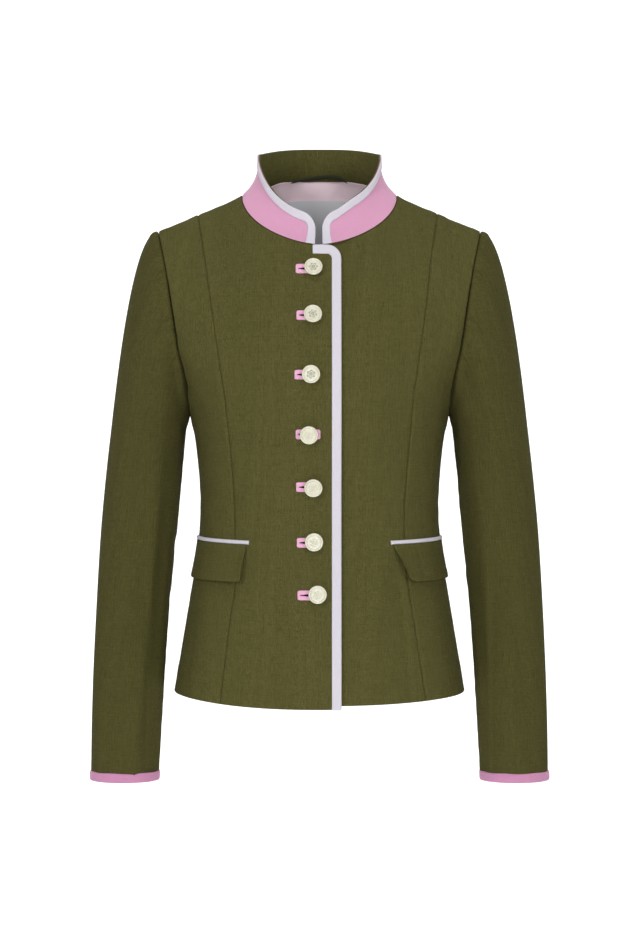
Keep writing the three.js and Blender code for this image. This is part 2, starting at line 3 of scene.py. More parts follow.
import bpy
import numpy as np
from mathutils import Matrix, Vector


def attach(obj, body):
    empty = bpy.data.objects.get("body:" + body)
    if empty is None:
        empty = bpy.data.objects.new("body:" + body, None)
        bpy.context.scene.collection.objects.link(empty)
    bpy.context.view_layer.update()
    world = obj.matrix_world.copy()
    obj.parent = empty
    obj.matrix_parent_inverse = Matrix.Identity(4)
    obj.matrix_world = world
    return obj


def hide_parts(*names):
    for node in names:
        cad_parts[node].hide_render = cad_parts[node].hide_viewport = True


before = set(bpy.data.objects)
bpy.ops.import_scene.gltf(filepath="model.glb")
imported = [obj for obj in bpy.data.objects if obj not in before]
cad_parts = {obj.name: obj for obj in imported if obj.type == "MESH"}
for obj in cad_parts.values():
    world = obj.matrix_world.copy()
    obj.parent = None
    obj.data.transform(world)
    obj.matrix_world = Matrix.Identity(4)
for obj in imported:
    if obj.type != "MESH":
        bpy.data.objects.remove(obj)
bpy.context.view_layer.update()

# Fronts, side fronts and backs
# Six panels of olive linen in a plain weave, shaped by their seams and not by darts. The seams
# over the bust, at the sides, on the shoulders and down the back are pressed open, and the hem
# is turned up once. Sizes here and below are in millimetres, as seen on the worn jacket.

MM = 0.001
CLOTH = 1.5
CLOTH_CREASE = 55
SEAM_GAP = 0.01
SIDES = {"right": -1, "left": 1}

# A mesh has a point every STEP along the cloth, and closer ones beside its edges
STEP = 3.6
EDGE_STEPS = np.array([0, 0.4, 0.9, 1.6, 2.8])
CLEAR_OF_EDGE = 1.6
NECK_CLEAR_OF_EDGE = 1.4
NECK_COLUMNS = {"front": 34, "back": 28}
UPPER_ROWS = 74
HALVINGS = 40
TURN_STEP = 0.002
HEIGHT_STEP = 0.4

# Body sections are fuller than an oval. Folds are placed on a body of the mean radius GIRTH
FULLNESS = 2.3
GIRTH = 127
UNDERARM = -250
ARMHOLE_CROWN = -10
ARMHOLE_DEPTH = 66
ARMHOLE_TOP = 0.88
NECK_HALF = 88
NECK_RISE = 0.59
NECK_SOFTNESS = 5
SHOULDER_START = 87
SHOULDER_SLOPE = 0.415
FRONT_NECK_DROP = -60
FRONT_NECK_CURVE = 1.6
BACK_NECK_RISE = 23
BACK_NECK_CURVE = 2.2
TOP_LIMIT = 90
FRONT_ROUNDNESS = 140
BACK_ROUNDNESS = {"neck": 60, "tip": 100}
SIDE_HEM = -557.5
HEM_DROP = {"right": 11, "left": 7}
LAP = 24
LAP_CORNER = 16
LAP_DEPTH = 4.2
LAP_START = 23
LAP_END = 42

# A panel's width is taken at this height, where it is a little more round than straight across
MEASURED_AT = -300
ROUND_SHARE = 1.25

SEAM_ROLL = {"depth": 1.5, "width": 0.85}
EDGE_ROLL = {"depth": 0.7, "width": 0.7}
PUCKER = {"height": 0.16, "reach": 6, "short": 3.3, "middle": 5.9, "long": 23}
PUCKER_START = {"outer": 1.3, "inner": 2.1, "top": 0.4}
ALLOWANCE = {"height": 0.28, "inside": 9, "outside": 13}
HEM_TURNING = {"depth": 32, "softness": 3, "height": 0.35}


def table(columns, *rows):
    """Named columns of numbers, one row for each section or fold."""
    return {name: np.array([row[i] for row in rows], float) for i, name in enumerate(columns.split())}


BODY = table(
    "z side front back",
    (60, 150, 64, 68),
    (23, 150, 65, 72),
    (-20, 150, 68, 84),
    (-60, 150, 77, 94),
    (-100, 150, 92, 101),
    (-150, 148, 107, 103),
    (-200, 146, 116, 100),
    (-250, 145, 117, 95),
    (-270, 140.5, 114, 91.5),
    (-310, 136, 106, 86),
    (-350, 134, 99, 82.5),
    (-400, 137.5, 103, 89),
    (-450, 145.5, 111, 101),
    (-510, 155.5, 119, 114),
    (-575, 166, 125, 123),
)
ARMHOLE = table(
    "z x",
    (-39, 182),
    (-77, 173),
    (-120, 165),
    (-168, 157),
    (-200, 150.5),
    (-236, 146),
    (-250, 145),
)
BUST_SEAM = table(
    "z right left",
    (-20, 137, 133),
    (-80, 126.5, 123),
    (-130, 119, 117.5),
    (-185, 111, 110),
    (-220, 105.5, 105),
    (-320, 95.5, 96),
    (-380, 93.5, 94),
    (-435, 93, 98),
    (-467, 97.5, 103),
    (-500, 101.5, 108),
    (-560, 108, 116.5),
)

# Soft ridges (depth over 0) and troughs (under 0) of the worn body. Turn is in degrees round
# from the front middle towards that side, and lean is how far the fold's top tips to the side.
BODY_FOLDS = table(
    "side turn z lean length width depth bend",
    (-1, 36, -196, 62, 30, 9, 0.8, 3),
    (-1, 45, -222, 55, 34, 8, -0.9, -4),
    (-1, 55, -190, 40, 46, 12, 1.2, 5),
    (-1, 66, -228, 30, 40, 9, -1.3, 4),
    (-1, 60, -338, 84, 34, 8, -0.8, 4),
    (-1, 72, -352, 79, 30, 7, 0.7, -3),
    (-1, 76, -322, 74, 26, 6, -0.8, 3),
    (-1, 30, -352, 87, 44, 7, -0.45, 5),
    (-1, 24, -330, 92, 38, 6, 0.4, -4),
    (-1, 20, -120, 12, 60, 16, -0.7, 6),
    (-1, 12, -476, 4, 80, 17, -0.7, 5),
    (-1, 30, -500, -6, 66, 15, 1.0, -4),
    (-1, 70, -505, 6, 60, 15, -1.4, 4),
    (1, 40, -56, 8, 30, 6, -1.3, 3),
    (1, 30, -92, 16, 48, 14, 0.7, -5),
    (1, 38, -203, -60, 30, 8, 0.8, 3),
    (1, 46, -228, -52, 36, 9, -1.0, 4),
    (1, 58, -182, -36, 44, 11, 1.2, -5),
    (1, 68, -222, -28, 42, 9, -1.4, 5),
    (1, 62, -345, -86, 32, 8, -0.8, 3),
    (1, 74, -330, -78, 28, 6, 0.7, -3),
    (1, 77, -358, -74, 26, 7, -0.8, 4),
    (1, 32, -346, -90, 40, 7, -0.45, -4),
    (1, 30, -470, 5, 78, 16, -0.8, -5),
    (1, 18, -505, -4, 62, 15, 0.8, 4),
    (1, 72, -498, -7, 64, 14, -1.4, -4),
    (-1, 118, -150, 24, 58, 13, -1.8, 6),
    (-1, 112, -206, 34, 50, 11, 1.4, -5),
    (-1, 150, -335, 82, 46, 9, -1.6, 5),
    (-1, 158, -356, 88, 40, 8, 1.2, -4),
    (-1, 140, -318, 74, 42, 9, -1.3, 5),
    (-1, 148, -480, 5, 72, 17, -1.8, 6),
    (-1, 128, -505, -7, 60, 15, 1.6, -4),
    (1, 116, -158, -22, 60, 14, -1.7, -6),
    (1, 110, -214, -36, 48, 11, 1.4, 5),
    (1, 154, -342, -84, 48, 9, -1.6, -5),
    (1, 146, -322, -76, 40, 8, 1.1, 4),
    (1, 140, -366, -80, 38, 8, -1.1, -4),
    (1, 150, -486, -6, 70, 16, -1.7, -6),
    (1, 132, -500, 6, 62, 15, 1.6, 5),
)


def curve(rows, column):
    """A smooth curve through one column of a table whose z falls from row to row."""
    z = rows["z"][::-1]
    value = rows[column][::-1]
    slope = np.empty_like(value)
    slope[1:-1] = (value[2:] - value[:-2]) / (z[2:] - z[:-2])
    slope[0] = (value[1] - value[0]) / (z[1] - z[0])
    slope[-1] = (value[-1] - value[-2]) / (z[-1] - z[-2])

    def at(height):
        height = np.clip(height, z[0], z[-1])
        i = np.clip(np.searchsorted(z, height) - 1, 0, len(z) - 2)
        span = z[i + 1] - z[i]
        t = (height - z[i]) / span
        start = (1 + 2 * t) * (1 - t) ** 2 * value[i] + t * (1 - t) ** 2 * span * slope[i]
        end = t * t * (3 - 2 * t) * value[i + 1] + t * t * (t - 1) * span * slope[i + 1]
        return start + end

    return at


def smoothstep(value, low, high):
    t = np.clip((value - low) / (high - low), 0, 1)
    return t * t * (3 - 2 * t)


def lerp(a, b, t):
    return a + (b - a) * t


def signed_power(value, exponent):
    return np.sign(value) * np.abs(value) ** exponent


def rounded(t):
    """A quarter round that rises from 0 and is level from 1 on."""
    t = np.clip(t, -1, 1)
    return np.sign(t) * np.sqrt(1 - (1 - np.abs(t)) ** 2)


def bell(distance, width):
    """1 at no distance, and softly down to 0 within about twice the width."""
    return np.exp(-((distance / width) ** 2))


body_side = curve(BODY, "side")
body_front = curve(BODY, "front")
body_back = curve(BODY, "back")
armhole_x = curve(ARMHOLE, "x")


def shoulder_height(x):
    inside = (NECK_HALF - np.abs(x)) / NECK_SOFTNESS
    rise = NECK_SOFTNESS * np.logaddexp(0, inside)
    return NECK_RISE * rise - SHOULDER_SLOPE * (np.abs(x) - SHOULDER_START)


def armhole_reach(z):
    t = np.clip((z - UNDERARM) / (ARMHOLE_CROWN - UNDERARM), 0, ARMHOLE_TOP)
    return ARMHOLE_DEPTH * np.sqrt(1 - (1 - 2 * t) ** 2)


def half_width(z, depth):
    """Above the underarm a section is as wide as it must be to pass through the armhole seam."""
    share = 1 - (armhole_reach(z) / depth) ** FULLNESS
    return np.where(z <= UNDERARM, body_side(z), armhole_x(z) / share ** (1 / FULLNESS))


def back_roundness(x):
    share = smoothstep(np.abs(x), NECK_HALF / 2, ARMHOLE["x"][0])
    return lerp(BACK_ROUNDNESS["neck"], BACK_ROUNDNESS["tip"], share)


def body_surface(angle, z):
    """Angle 0 is the front middle, a quarter turn the side and a half turn the back middle."""
    angle, z = np.broadcast_arrays(np.asarray(angle, float), np.asarray(z, float))
    front = np.cos(angle) >= 0
    depth = np.where(front, body_front(z), body_back(z))
    x = half_width(z, depth) * signed_power(np.sin(angle), 2 / FULLNESS)
    roundness = np.where(front, FRONT_ROUNDNESS, back_roundness(x))
    y = -depth * signed_power(np.cos(angle), 2 / FULLNESS) * rounded((shoulder_height(x) - z) / roundness)
    return np.stack([x, y, z], axis=-1)


def unit(vectors):
    return vectors / np.maximum(np.linalg.norm(vectors, axis=-1, keepdims=True), 1e-9)


def folds(rows, across, along, side):
    """The height of a table's soft ridges and troughs at places measured in millimetres."""
    height = np.zeros(np.broadcast(across, along).shape)
    for i in range(len(rows["z"])):
        if rows["side"][i] != side:
            continue
        lean = math.radians(rows["lean"][i])
        right = across - rows["across"][i]
        up = along - rows["z"][i]
        length = (up * math.cos(lean) + right * math.sin(lean)) / rows["length"][i]
        width = right * math.cos(lean) - up * math.sin(lean) + rows["bend"][i] * length**2
        height += rows["depth"][i] * np.exp(-((width / rows["width"][i]) ** 2) - length**4)
    return height


BODY_FOLDS["across"] = np.radians(BODY_FOLDS["turn"]) * GIRTH


def body_point(side, angle, z, out):
    """A point of the worn body, moved out from the cloth, on the left (1) or right (-1)."""
    across = body_surface(angle + TURN_STEP, z) - body_surface(angle - TURN_STEP, z)
    up = body_surface(angle, z + HEIGHT_STEP) - body_surface(angle, z - HEIGHT_STEP)
    height = out + folds(BODY_FOLDS, np.asarray(angle) * GIRTH, np.asarray(z, float), side)
    point = body_surface(angle, z) + unit(np.cross(across, up)) * height[..., None]
    point[..., 0] *= side
    return point


def angle_at(face, x, z):
    depth = body_front(z) if face == "front" else body_back(z)
    share = np.minimum(np.abs(x) / half_width(z, depth), 1)
    angle = np.sign(x) * np.arcsin(share ** (FULLNESS / 2))
    return angle if face == "front" else math.pi - angle


def top_edge(face, lap):
    """The neck seam from the middle to the shoulder, and beyond it the shoulder line."""
    corner = shoulder_height(NECK_HALF)

    def height(x):
        share = np.minimum(np.abs(x) / NECK_HALF, 1)
        if face == "back":
            neck = lerp(BACK_NECK_RISE, corner, share**BACK_NECK_CURVE)
        else:
            in_corner = np.maximum(LAP_CORNER - LAP - x, 0) if lap else np.zeros_like(x)
            round_corner = np.sqrt(np.maximum(LAP_CORNER**2 - in_corner**2, 0))
            falling = corner + (FRONT_NECK_DROP - corner) * np.sqrt(1 - share**FRONT_NECK_CURVE)
            neck = np.where(x > 0, falling, FRONT_NECK_DROP - LAP_CORNER + round_corner)
        return np.where(np.abs(x) >= NECK_HALF, shoulder_height(x), neck)

    return height


def crossing(low, high, height):
    """Where a falling function crosses zero, for each of many columns at once."""
    for _ in range(HALVINGS):
        middle = (low + high) / 2
        above = height(middle) > 0
        low = np.where(above, middle, low)
        high = np.where(above, high, middle)
    return (low + high) / 2


def steps(length):
    """Shares of a length: close together at both ends and even between them."""
    ends = EDGE_STEPS / length
    even = np.linspace(0, 1, max(round(length / STEP), 3) + 1)
    clear = CLEAR_OF_EDGE * ends[-1]
    even = even[(even > clear) & (even < 1 - clear)]
    return np.concatenate([ends, even, 1 - ends[::-1]])


def pressed_seam(distance, along, start):
    """Cloth beside a seam: rolled into it, slightly puckered, and raised by the seam allowance."""
    swing = np.sin(along / PUCKER["short"] + start)
    swing += np.sin(along / PUCKER["middle"] + 2 * start) * np.sin(along / PUCKER["long"] + start)
    pucker = PUCKER["height"] * swing * np.exp(-distance / PUCKER["reach"])
    allowance = ALLOWANCE["height"] * smoothstep(distance, ALLOWANCE["outside"], ALLOWANCE["inside"])
    return pucker + allowance - SEAM_ROLL["depth"] * bell(distance, SEAM_ROLL["width"])


def measured(points, start):
    """How far each point of a grid lies along its column, counted from one row."""
    length = np.linalg.norm(np.diff(points, axis=0), axis=-1)
    total = np.concatenate([np.zeros((1, points.shape[1])), np.cumsum(length, axis=0)])
    return total - total[start]


def measured_across(points):
    """How far each point of a grid lies along its row, counted from the first column."""
    return measured(np.swapaxes(points, 0, 1), 0).T


def length_round(middle, angle, z):
    """How far places are from the front or back middle, measured level round the body."""
    share = np.linspace(0, 1, 41)[:, None, None]
    walk = np.diff(body_surface(lerp(middle, angle, share), z), axis=0)
    return np.linalg.norm(walk, axis=-1).sum(axis=0) * np.sign(angle - middle)


def panel_columns(width, neck_share, neck_columns):
    """Shares of a panel's width, crowded towards the steep neck seam where it has one."""
    shares = steps(width)
    if not neck_columns:
        return shares
    curved = neck_share * np.sin(np.linspace(0, 1, neck_columns + 1) * math.pi / 2)
    even = np.linspace(neck_share, 1, round((1 - neck_share) * width / STEP) + 1)
    inside = np.concatenate([curved, even[1:]])
    count = len(EDGE_STEPS)
    clear = NECK_CLEAR_OF_EDGE * shares[count - 1]
    inside = inside[(inside > clear) & (inside < 1 - clear)]
    return np.sort(np.concatenate([shares[:count], inside, shares[-count:]]))


def panel_relief(flat, side, underarm_row, seam_inside, under):
    """Pressed seams round a panel, rolled edges at lap and hem, and the step under the lap."""
    up = measured(flat, underarm_row)
    from_inner = measured_across(flat)
    from_hem = up - up[:1]
    relief = pressed_seam(from_inner[:, -1:] - from_inner, up, PUCKER_START["outer"] + side)
    relief += pressed_seam(up[-1:] - up, from_inner, PUCKER_START["top"])
    if seam_inside:
        relief += pressed_seam(from_inner, up, PUCKER_START["inner"] - side)
    else:
        relief -= EDGE_ROLL["depth"] * bell(from_inner, EDGE_ROLL["width"])
    relief -= EDGE_ROLL["depth"] * bell(from_hem, EDGE_ROLL["width"])
    turned_up = smoothstep(from_hem, HEM_TURNING["depth"] + HEM_TURNING["softness"], HEM_TURNING["depth"])
    relief += HEM_TURNING["height"] * turned_up
    if under:
        relief -= LAP_DEPTH * (1 - smoothstep(flat[..., 0], LAP_START, LAP_END))
    return relief, up


def panel(side, face, inner, outer, neck_columns=0, hem_drop=0, lap=False, under=False):
    """The outside and inside grids of a body panel, its cut laid flat and its top seam."""
    top = top_edge(face, lap)

    def angle(share, z):
        start = angle_at(face, inner(z) + SEAM_GAP, z)
        return lerp(start, angle_at(face, outer(z), z), share)

    def x_at(share, z):
        return body_surface(angle(share, z), z)[..., 0]

    def top_of(share):
        low, high = np.full_like(share, UNDERARM), np.full_like(share, TOP_LIMIT)
        return crossing(low, high, lambda z: top(x_at(share, z)) - z)

    neck_share = 0.0
    if neck_columns:
        neck_share = crossing(np.zeros(1), np.ones(1), lambda s: NECK_HALF - x_at(s, top_of(s)))[0]
    width = float(abs(outer(MEASURED_AT) - inner(MEASURED_AT))) * ROUND_SHARE
    shares = panel_columns(width, neck_share, neck_columns)
    drop = hem_drop * np.maximum(np.cos(angle(shares, SIDE_HEM)), 0) ** 2
    lower = steps(UNDERARM - SIDE_HEM)[: -len(EDGE_STEPS), None]
    upper = (1 - np.cos(np.linspace(0, 1, UPPER_ROWS) * math.pi))[:, None] / 2
    z = np.concatenate([lerp(SIDE_HEM - drop, UNDERARM, lower), lerp(UNDERARM, top_of(shares), upper)])
    turn = angle(np.broadcast_to(shares, z.shape), z)
    flat = body_surface(turn, z)
    seam_inside = inner(MEASURED_AT) > 0 or face == "back"
    relief, up = panel_relief(flat, side, len(lower), seam_inside, under)
    layers = [body_point(side, turn, z, relief - depth) for depth in (0, CLOTH)]
    for layer in layers:
        clear = np.maximum(np.abs(layer[..., 1]), SEAM_GAP / 2)
        layer[..., 1] = clear if face == "back" else -clear
    middle = math.pi if face == "back" else 0.0
    cut = np.stack([length_round(middle, turn, z) * side, up], axis=-1)
    return *layers, cut, flat[-1] * [side, 1, 1]


def grid_faces(rows, columns, ring):
    """Corner (row, column, layer) indices of each quad of a closed wall."""
    last = columns if ring else columns - 1
    row, column = np.divmod(np.arange((rows - 1) * last), last)
    corners = np.stack([row, column, row, column + 1, row + 1, column + 1, row + 1, column], axis=-1)
    corners = corners.reshape(-1, 4, 2)

    def with_layer(quads, layer):
        layer = np.broadcast_to(np.reshape(layer, (-1, 1)), (*quads.shape[:2], 1))
        return np.concatenate([quads, layer], axis=-1)

    def rim(first, second):
        return with_layer(np.stack([second, first, first, second], axis=1), [0, 0, 1, 1])

    faces = [with_layer(corners, 0), with_layer(corners[:, ::-1], 1)]

    along = np.arange(last)
    for at, flip in ((0, False), (rows - 1, True)):
        first = np.stack([np.full(last, at), along], axis=-1)
        second = first + [0, 1]
        faces.append(rim(second, first) if flip else rim(first, second))
    if not ring:
        upward = np.arange(rows - 1)
        for at, flip in ((0, True), (columns - 1, False)):
            first = np.stack([upward, np.full(rows - 1, at)], axis=-1)
            second = first + [1, 0]
            faces.append(rim(second, first) if flip else rim(first, second))
    return np.concatenate(faces)


def add_object(name, data):
    """An object of that name in the scene, made of a mesh, a light or a camera."""
    made = bpy.data.objects.new(name, data)
    bpy.context.collection.objects.link(made)
    return made


def shell(name, outside, inside, cut, ring=False):
    """A closed thin wall between two grids of points, with its cut laid flat as its UV map."""
    rows, columns = outside.shape[:2]
    faces = grid_faces(rows, columns, ring)
    points = np.concatenate([outside.reshape(-1, 3), inside.reshape(-1, 3)]) * MM
    ids = faces[..., 2] * rows * columns + faces[..., 0] * columns + faces[..., 1] % columns
    flat = cut[faces[..., 0], faces[..., 1]] * MM
    a, b, c = (points[ids[:, i]] for i in (0, 1, 2))
    if np.einsum("ij,ij->i", a, np.cross(b, c)).sum() < 0:
        ids, flat = ids[:, ::-1], flat[:, ::-1]
    mesh = bpy.data.meshes.new(name)
    mesh.from_pydata(points.tolist(), [], ids.tolist())
    layer = mesh.uv_layers.new(name="cut")
    layer.data.foreach_set("uv", flat.reshape(-1))
    mesh.shade_smooth()
    mesh.set_sharp_from_angle(angle=math.radians(CLOTH_CREASE))
    return add_object(name, mesh)


def add_piece(piece, material, node, cut=None):
    """Gives a piece its finish, puts it on the body and hides its CAD part. Where its cut is given, it
    works out the cut's area, which nothing uses.
    """
    piece.data.materials.append(material)
    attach(piece, "root")
    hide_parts(node)
    if cut is None:
        return
    diagonal = cut[1:, 1:] - cut[:-1, :-1]
    other = cut[1:, :-1] - cut[:-1, 1:]
    area = np.abs(diagonal[..., 0] * other[..., 1] - diagonal[..., 1] * other[..., 0]).sum() / 2 * MM**2


def add_sheet(cloth, node, grids, material, ring=False):
    """Adds a sheet from its outside, inside and cut. It is named after its CAD node and its cloth."""
    piece = shell(f"{node}_{cloth}", *grids, ring=ring)
    add_piece(piece, material, node, grids[-1])


def add_node(tree, kind, **settings):
    node = tree.nodes.new(kind)
    for name, value in settings.items():
        setattr(node, name, value)
    return node


class Signal:
    """A node's output, which is added, subtracted and multiplied as a number is."""

    def __init__(self, tree, socket):
        self.tree = tree
        self.socket = socket

    def calc(self, operation, *others):
        node = add_node(self.tree, "ShaderNodeMath", operation=operation)
        feed(node, dict(enumerate((self, *others))))
        return Signal(self.tree, node.outputs[0])

    def __add__(self, other):
        return self.calc("ADD", other)

    def __sub__(self, other):
        return self.calc("SUBTRACT", other)

    def __mul__(self, other):
        return self.calc("MULTIPLY", other)

    def stepped(self, low, high):
        """0 below low and 1 above high, smooth between."""
        node = add_node(self.tree, "ShaderNodeMapRange", interpolation_type="SMOOTHSTEP")
        feed(node, {"Value": self, "From Min": low, "From Max": high})
        return Signal(self.tree, node.outputs["Result"])


def feed(node, values):
    """Links signals to a node's inputs, or sets the inputs to fixed values."""
    for name, value in values.items():
        if isinstance(value, Signal):
            value.tree.links.new(value.socket, node.inputs[name])
        else:
            node.inputs[name].default_value = value


THREAD_START = {"often": 0.7, "spread": 17.0}


def thread_noise(across, along, thin, short, detail=1.0):
    """Streaks along the threads, so many in a metre each way, and each thread's begin elsewhere."""
    tree = across.tree
    row = across * thin
    start = add_node(tree, "ShaderNodeTexNoise", noise_dimensions="1D")
    feed(start, {"W": row * THREAD_START["often"], "Scale": 1, "Detail": 0})
    place = add_node(tree, "ShaderNodeCombineXYZ")
    shifted = along * short + Signal(tree, start.outputs["Fac"]) * THREAD_START["spread"]
    feed(place, {"X": row, "Y": shifted})
    noise = add_node(tree, "ShaderNodeTexNoise", noise_dimensions="2D")
    feed(noise, {"Vector": Signal(tree, place.outputs[0]), "Scale": 1, "Detail": detail})
    return Signal(tree, noise.outputs["Fac"])


# How many streaks fit in a metre, across and along their threads
STREAKS = {
    "upright": (1150, 120),
    "level": (1050, 115),
    "uneven": (560, 480),
    "fleck": (430, 380),
    "cloudy": (17, 9),
}

# Where a streak turns into a thick slub or a dark fleck, and how much each changes the tone
SLUB_FROM = {"upright": (0.66, 0.76), "level": (0.65, 0.75), "fleck": (0.765, 0.80)}
TONE = {"fine": 0.6, "thick": 0.15, "uneven": 1.1, "cloudy": 0.22, "fleck": 0.9, "thread": 0.3, "base": 0.4}
SLUB_HEIGHT = 0.6


def plain_weave():
    """Threads over and under each other, with slubs drawn along them both ways and dark flecks."""
    tree = bpy.data.node_groups.new("plain weave", "ShaderNodeTree")
    tree.interface.new_socket("Place", in_out="INPUT", socket_type="NodeSocketVector")
    for name, way in {"Threads": "INPUT", "Slubs": "INPUT", "Tone": "OUTPUT", "Height": "OUTPUT"}.items():
        tree.interface.new_socket(name, in_out=way, socket_type="NodeSocketFloat")
    given = add_node(tree, "NodeGroupInput")
    place, threads, slubs = (Signal(tree, given.outputs[name]) for name in ("Place", "Threads", "Slubs"))
    split = add_node(tree, "ShaderNodeSeparateXYZ")
    feed(split, {0: place})
    across, along = (Signal(tree, split.outputs[axis]) for axis in ("X", "Y"))

    turns = threads * math.pi
    warp_wave, weft_wave = ((place * turns).calc("SINE") for place in (across, along))
    over = warp_wave * weft_wave
    warp = warp_wave.calc("ABSOLUTE") * over.calc("MAXIMUM", 0.0)
    weft = weft_wave.calc("ABSOLUTE") * (over * -1.0).calc("MAXIMUM", 0.0)
    thread = warp + weft

    upright = thread_noise(across, along, *STREAKS["upright"])
    level = thread_noise(along, across, *STREAKS["level"])
    cloudy = thread_noise(across, along, *STREAKS["cloudy"], detail=3.0)
    fleck = thread_noise(across, along, *STREAKS["fleck"]).stepped(*SLUB_FROM["fleck"])
    uneven = thread_noise(across, along, *STREAKS["uneven"], detail=2.0)
    fine = (upright - 0.5) + (level - 0.5)
    thick = upright.stepped(*SLUB_FROM["upright"]) + level.stepped(*SLUB_FROM["level"])
    slub_tone = fine * TONE["fine"] + thick * TONE["thick"] + (uneven - 0.5) * TONE["uneven"]
    slub_tone += (cloudy - 0.5) * TONE["cloudy"]
    slub_tone -= fleck * TONE["fleck"]

    # Raised thread crowns are drawn lighter and the gaps between threads darker: painted shade between the
    # threads
    tone = slub_tone * slubs + TONE["base"] + thread * TONE["thread"]
    tone = tone.calc("MAXIMUM", 0.0).calc("MINIMUM", 1.0)
    height = thread + (fine + thick) * (slubs * SLUB_HEIGHT)
    feed(add_node(tree, "NodeGroupOutput"), {"Tone": tone, "Height": height})
    return tree


WEAVE = plain_weave()


def linear(colour):
    """An sRGB colour given as 0 to 255, as the linear values that a shader takes."""
    share = np.array(colour) / 255
    value = np.where(share <= 0.04045, share / 12.92, ((share + 0.055) / 1.055) ** 2.4)
    return (*value.tolist(), 1.0)


def mixed(share, first, second):
    """A colour between two others, each given as sRGB values from 0 to 255 or as a signal."""
    node = add_node(share.tree, "ShaderNodeMix", data_type="RGBA")
    first, second = (part if isinstance(part, Signal) else linear(part) for part in (first, second))
    at = {socket.identifier: index for index, socket in enumerate(node.inputs)}
    feed(node, {at["Factor_Float"]: share, at["A_Color"]: first, at["B_Color"]: second})
    outputs = {socket.identifier: socket for socket in node.outputs}
    return Signal(share.tree, outputs["Result_Color"])


def new_material(name):
    """A material, its node tree and its shader."""
    material = bpy.data.materials.new(name)
    material.use_nodes = True
    return material, material.node_tree, material.node_tree.nodes["Principled BSDF"]


def cloth_material(name, dark, light, threads, slubs, relief, roughness, sheen=0.0):
    """A woven cloth: two sRGB colours of its threads, threads in a metre and their relief in mm."""
    material, tree, shader = new_material(name)
    cut = add_node(tree, "ShaderNodeUVMap", uv_map="cut")
    weave = add_node(tree, "ShaderNodeGroup", node_tree=WEAVE)
    feed(weave, {"Place": Signal(tree, cut.outputs["UV"]), "Threads": threads, "Slubs": slubs})
    bump = add_node(tree, "ShaderNodeBump")
    feed(bump, {"Strength": 1, "Distance": relief * MM, "Height": Signal(tree, weave.outputs["Height"])})
    colour = mixed(Signal(tree, weave.outputs["Tone"]), dark, light)
    feed(shader, {"Base Color": colour, "Normal": Signal(tree, bump.outputs["Normal"])})
    feed(shader, {"Roughness": roughness, "Specular IOR Level": 0.06})
    feed(shader, {"Sheen Weight": sheen, "Sheen Roughness": 0.5})
    return material


LINEN_WEAVE = {"threads": 1500, "slubs": 1.0, "relief": 0.2, "roughness": 0.95}
OLIVE = cloth_material("olive linen", (60, 58, 26), (108, 104, 61), **LINEN_WEAVE)


def outer_edge(z):
    """The armhole seam, and below it the side seam."""
    return np.where(z > UNDERARM, armhole_x(z), body_side(z))


panels = {}
for name, sign in SIDES.items():
    bust_seam = curve(BUST_SEAM, name)
    panels[f"front_{name}_centre"] = panel(
        sign,
        "front",
        lambda z: 0 * z - LAP,
        bust_seam,
        neck_columns=NECK_COLUMNS["front"],
        hem_drop=HEM_DROP[name],
        lap=name == "right",
        under=name == "left",
    )
    panels[f"side_front_{name}"] = panel(sign, "front", bust_seam, outer_edge, hem_drop=HEM_DROP[name])
    panels[f"back_{name}"] = panel(sign, "back", lambda z: 0 * z, outer_edge, NECK_COLUMNS["back"])

for node, (*grids, _) in panels.items():
    add_sheet("linen", node, grids, OLIVE)

# Sleeves
# Two long one-piece sleeves of the same linen, with the seam under the arm, drawn a little darker
# than the body as painted shade. The head is set in with a little ease, so it rounds over its
# seam, and the sleeve was pressed nearly flat.

SLEEVE = table(
    "z outer inner front back",
    (-262, 235.5, 150.5, 60, 60),
    (-308, 240.7, 155, 58, 57),
    (-376, 247, 161, 54.5, 51),
    (-444, 251, 168, 52.5, 44),
    (-512, 254, 173, 52.5, 36.5),
    (-580, 256, 177, 52.5, 30),
    (-655.5, 257, 181.2, 53, 25),
)
CUFF = -655.5
CAP_ROLL = 0.46
CAP_EASE = 4
CAP_ROWS = 58
SLEEVE_GIRTH = 46
SLEEVE_ROUND = 290
FOLDS_START = 14
SEAM_START = {"from": 2, "to": 12}
FREE_SIDEWAYS = 6
SLEEVE_PUCKER_START = {"head": 0.9, "under": 1.7}

# The cloth rounds up over its seam on top of the shoulder, and sinks into it lower down
HEAD = {"rise": 0.7, "at": 7, "width": 5, "from": -0.1, "to": 0.7}
ARMHOLE_SINK = {"depth": 3.2, "width": 2.2}

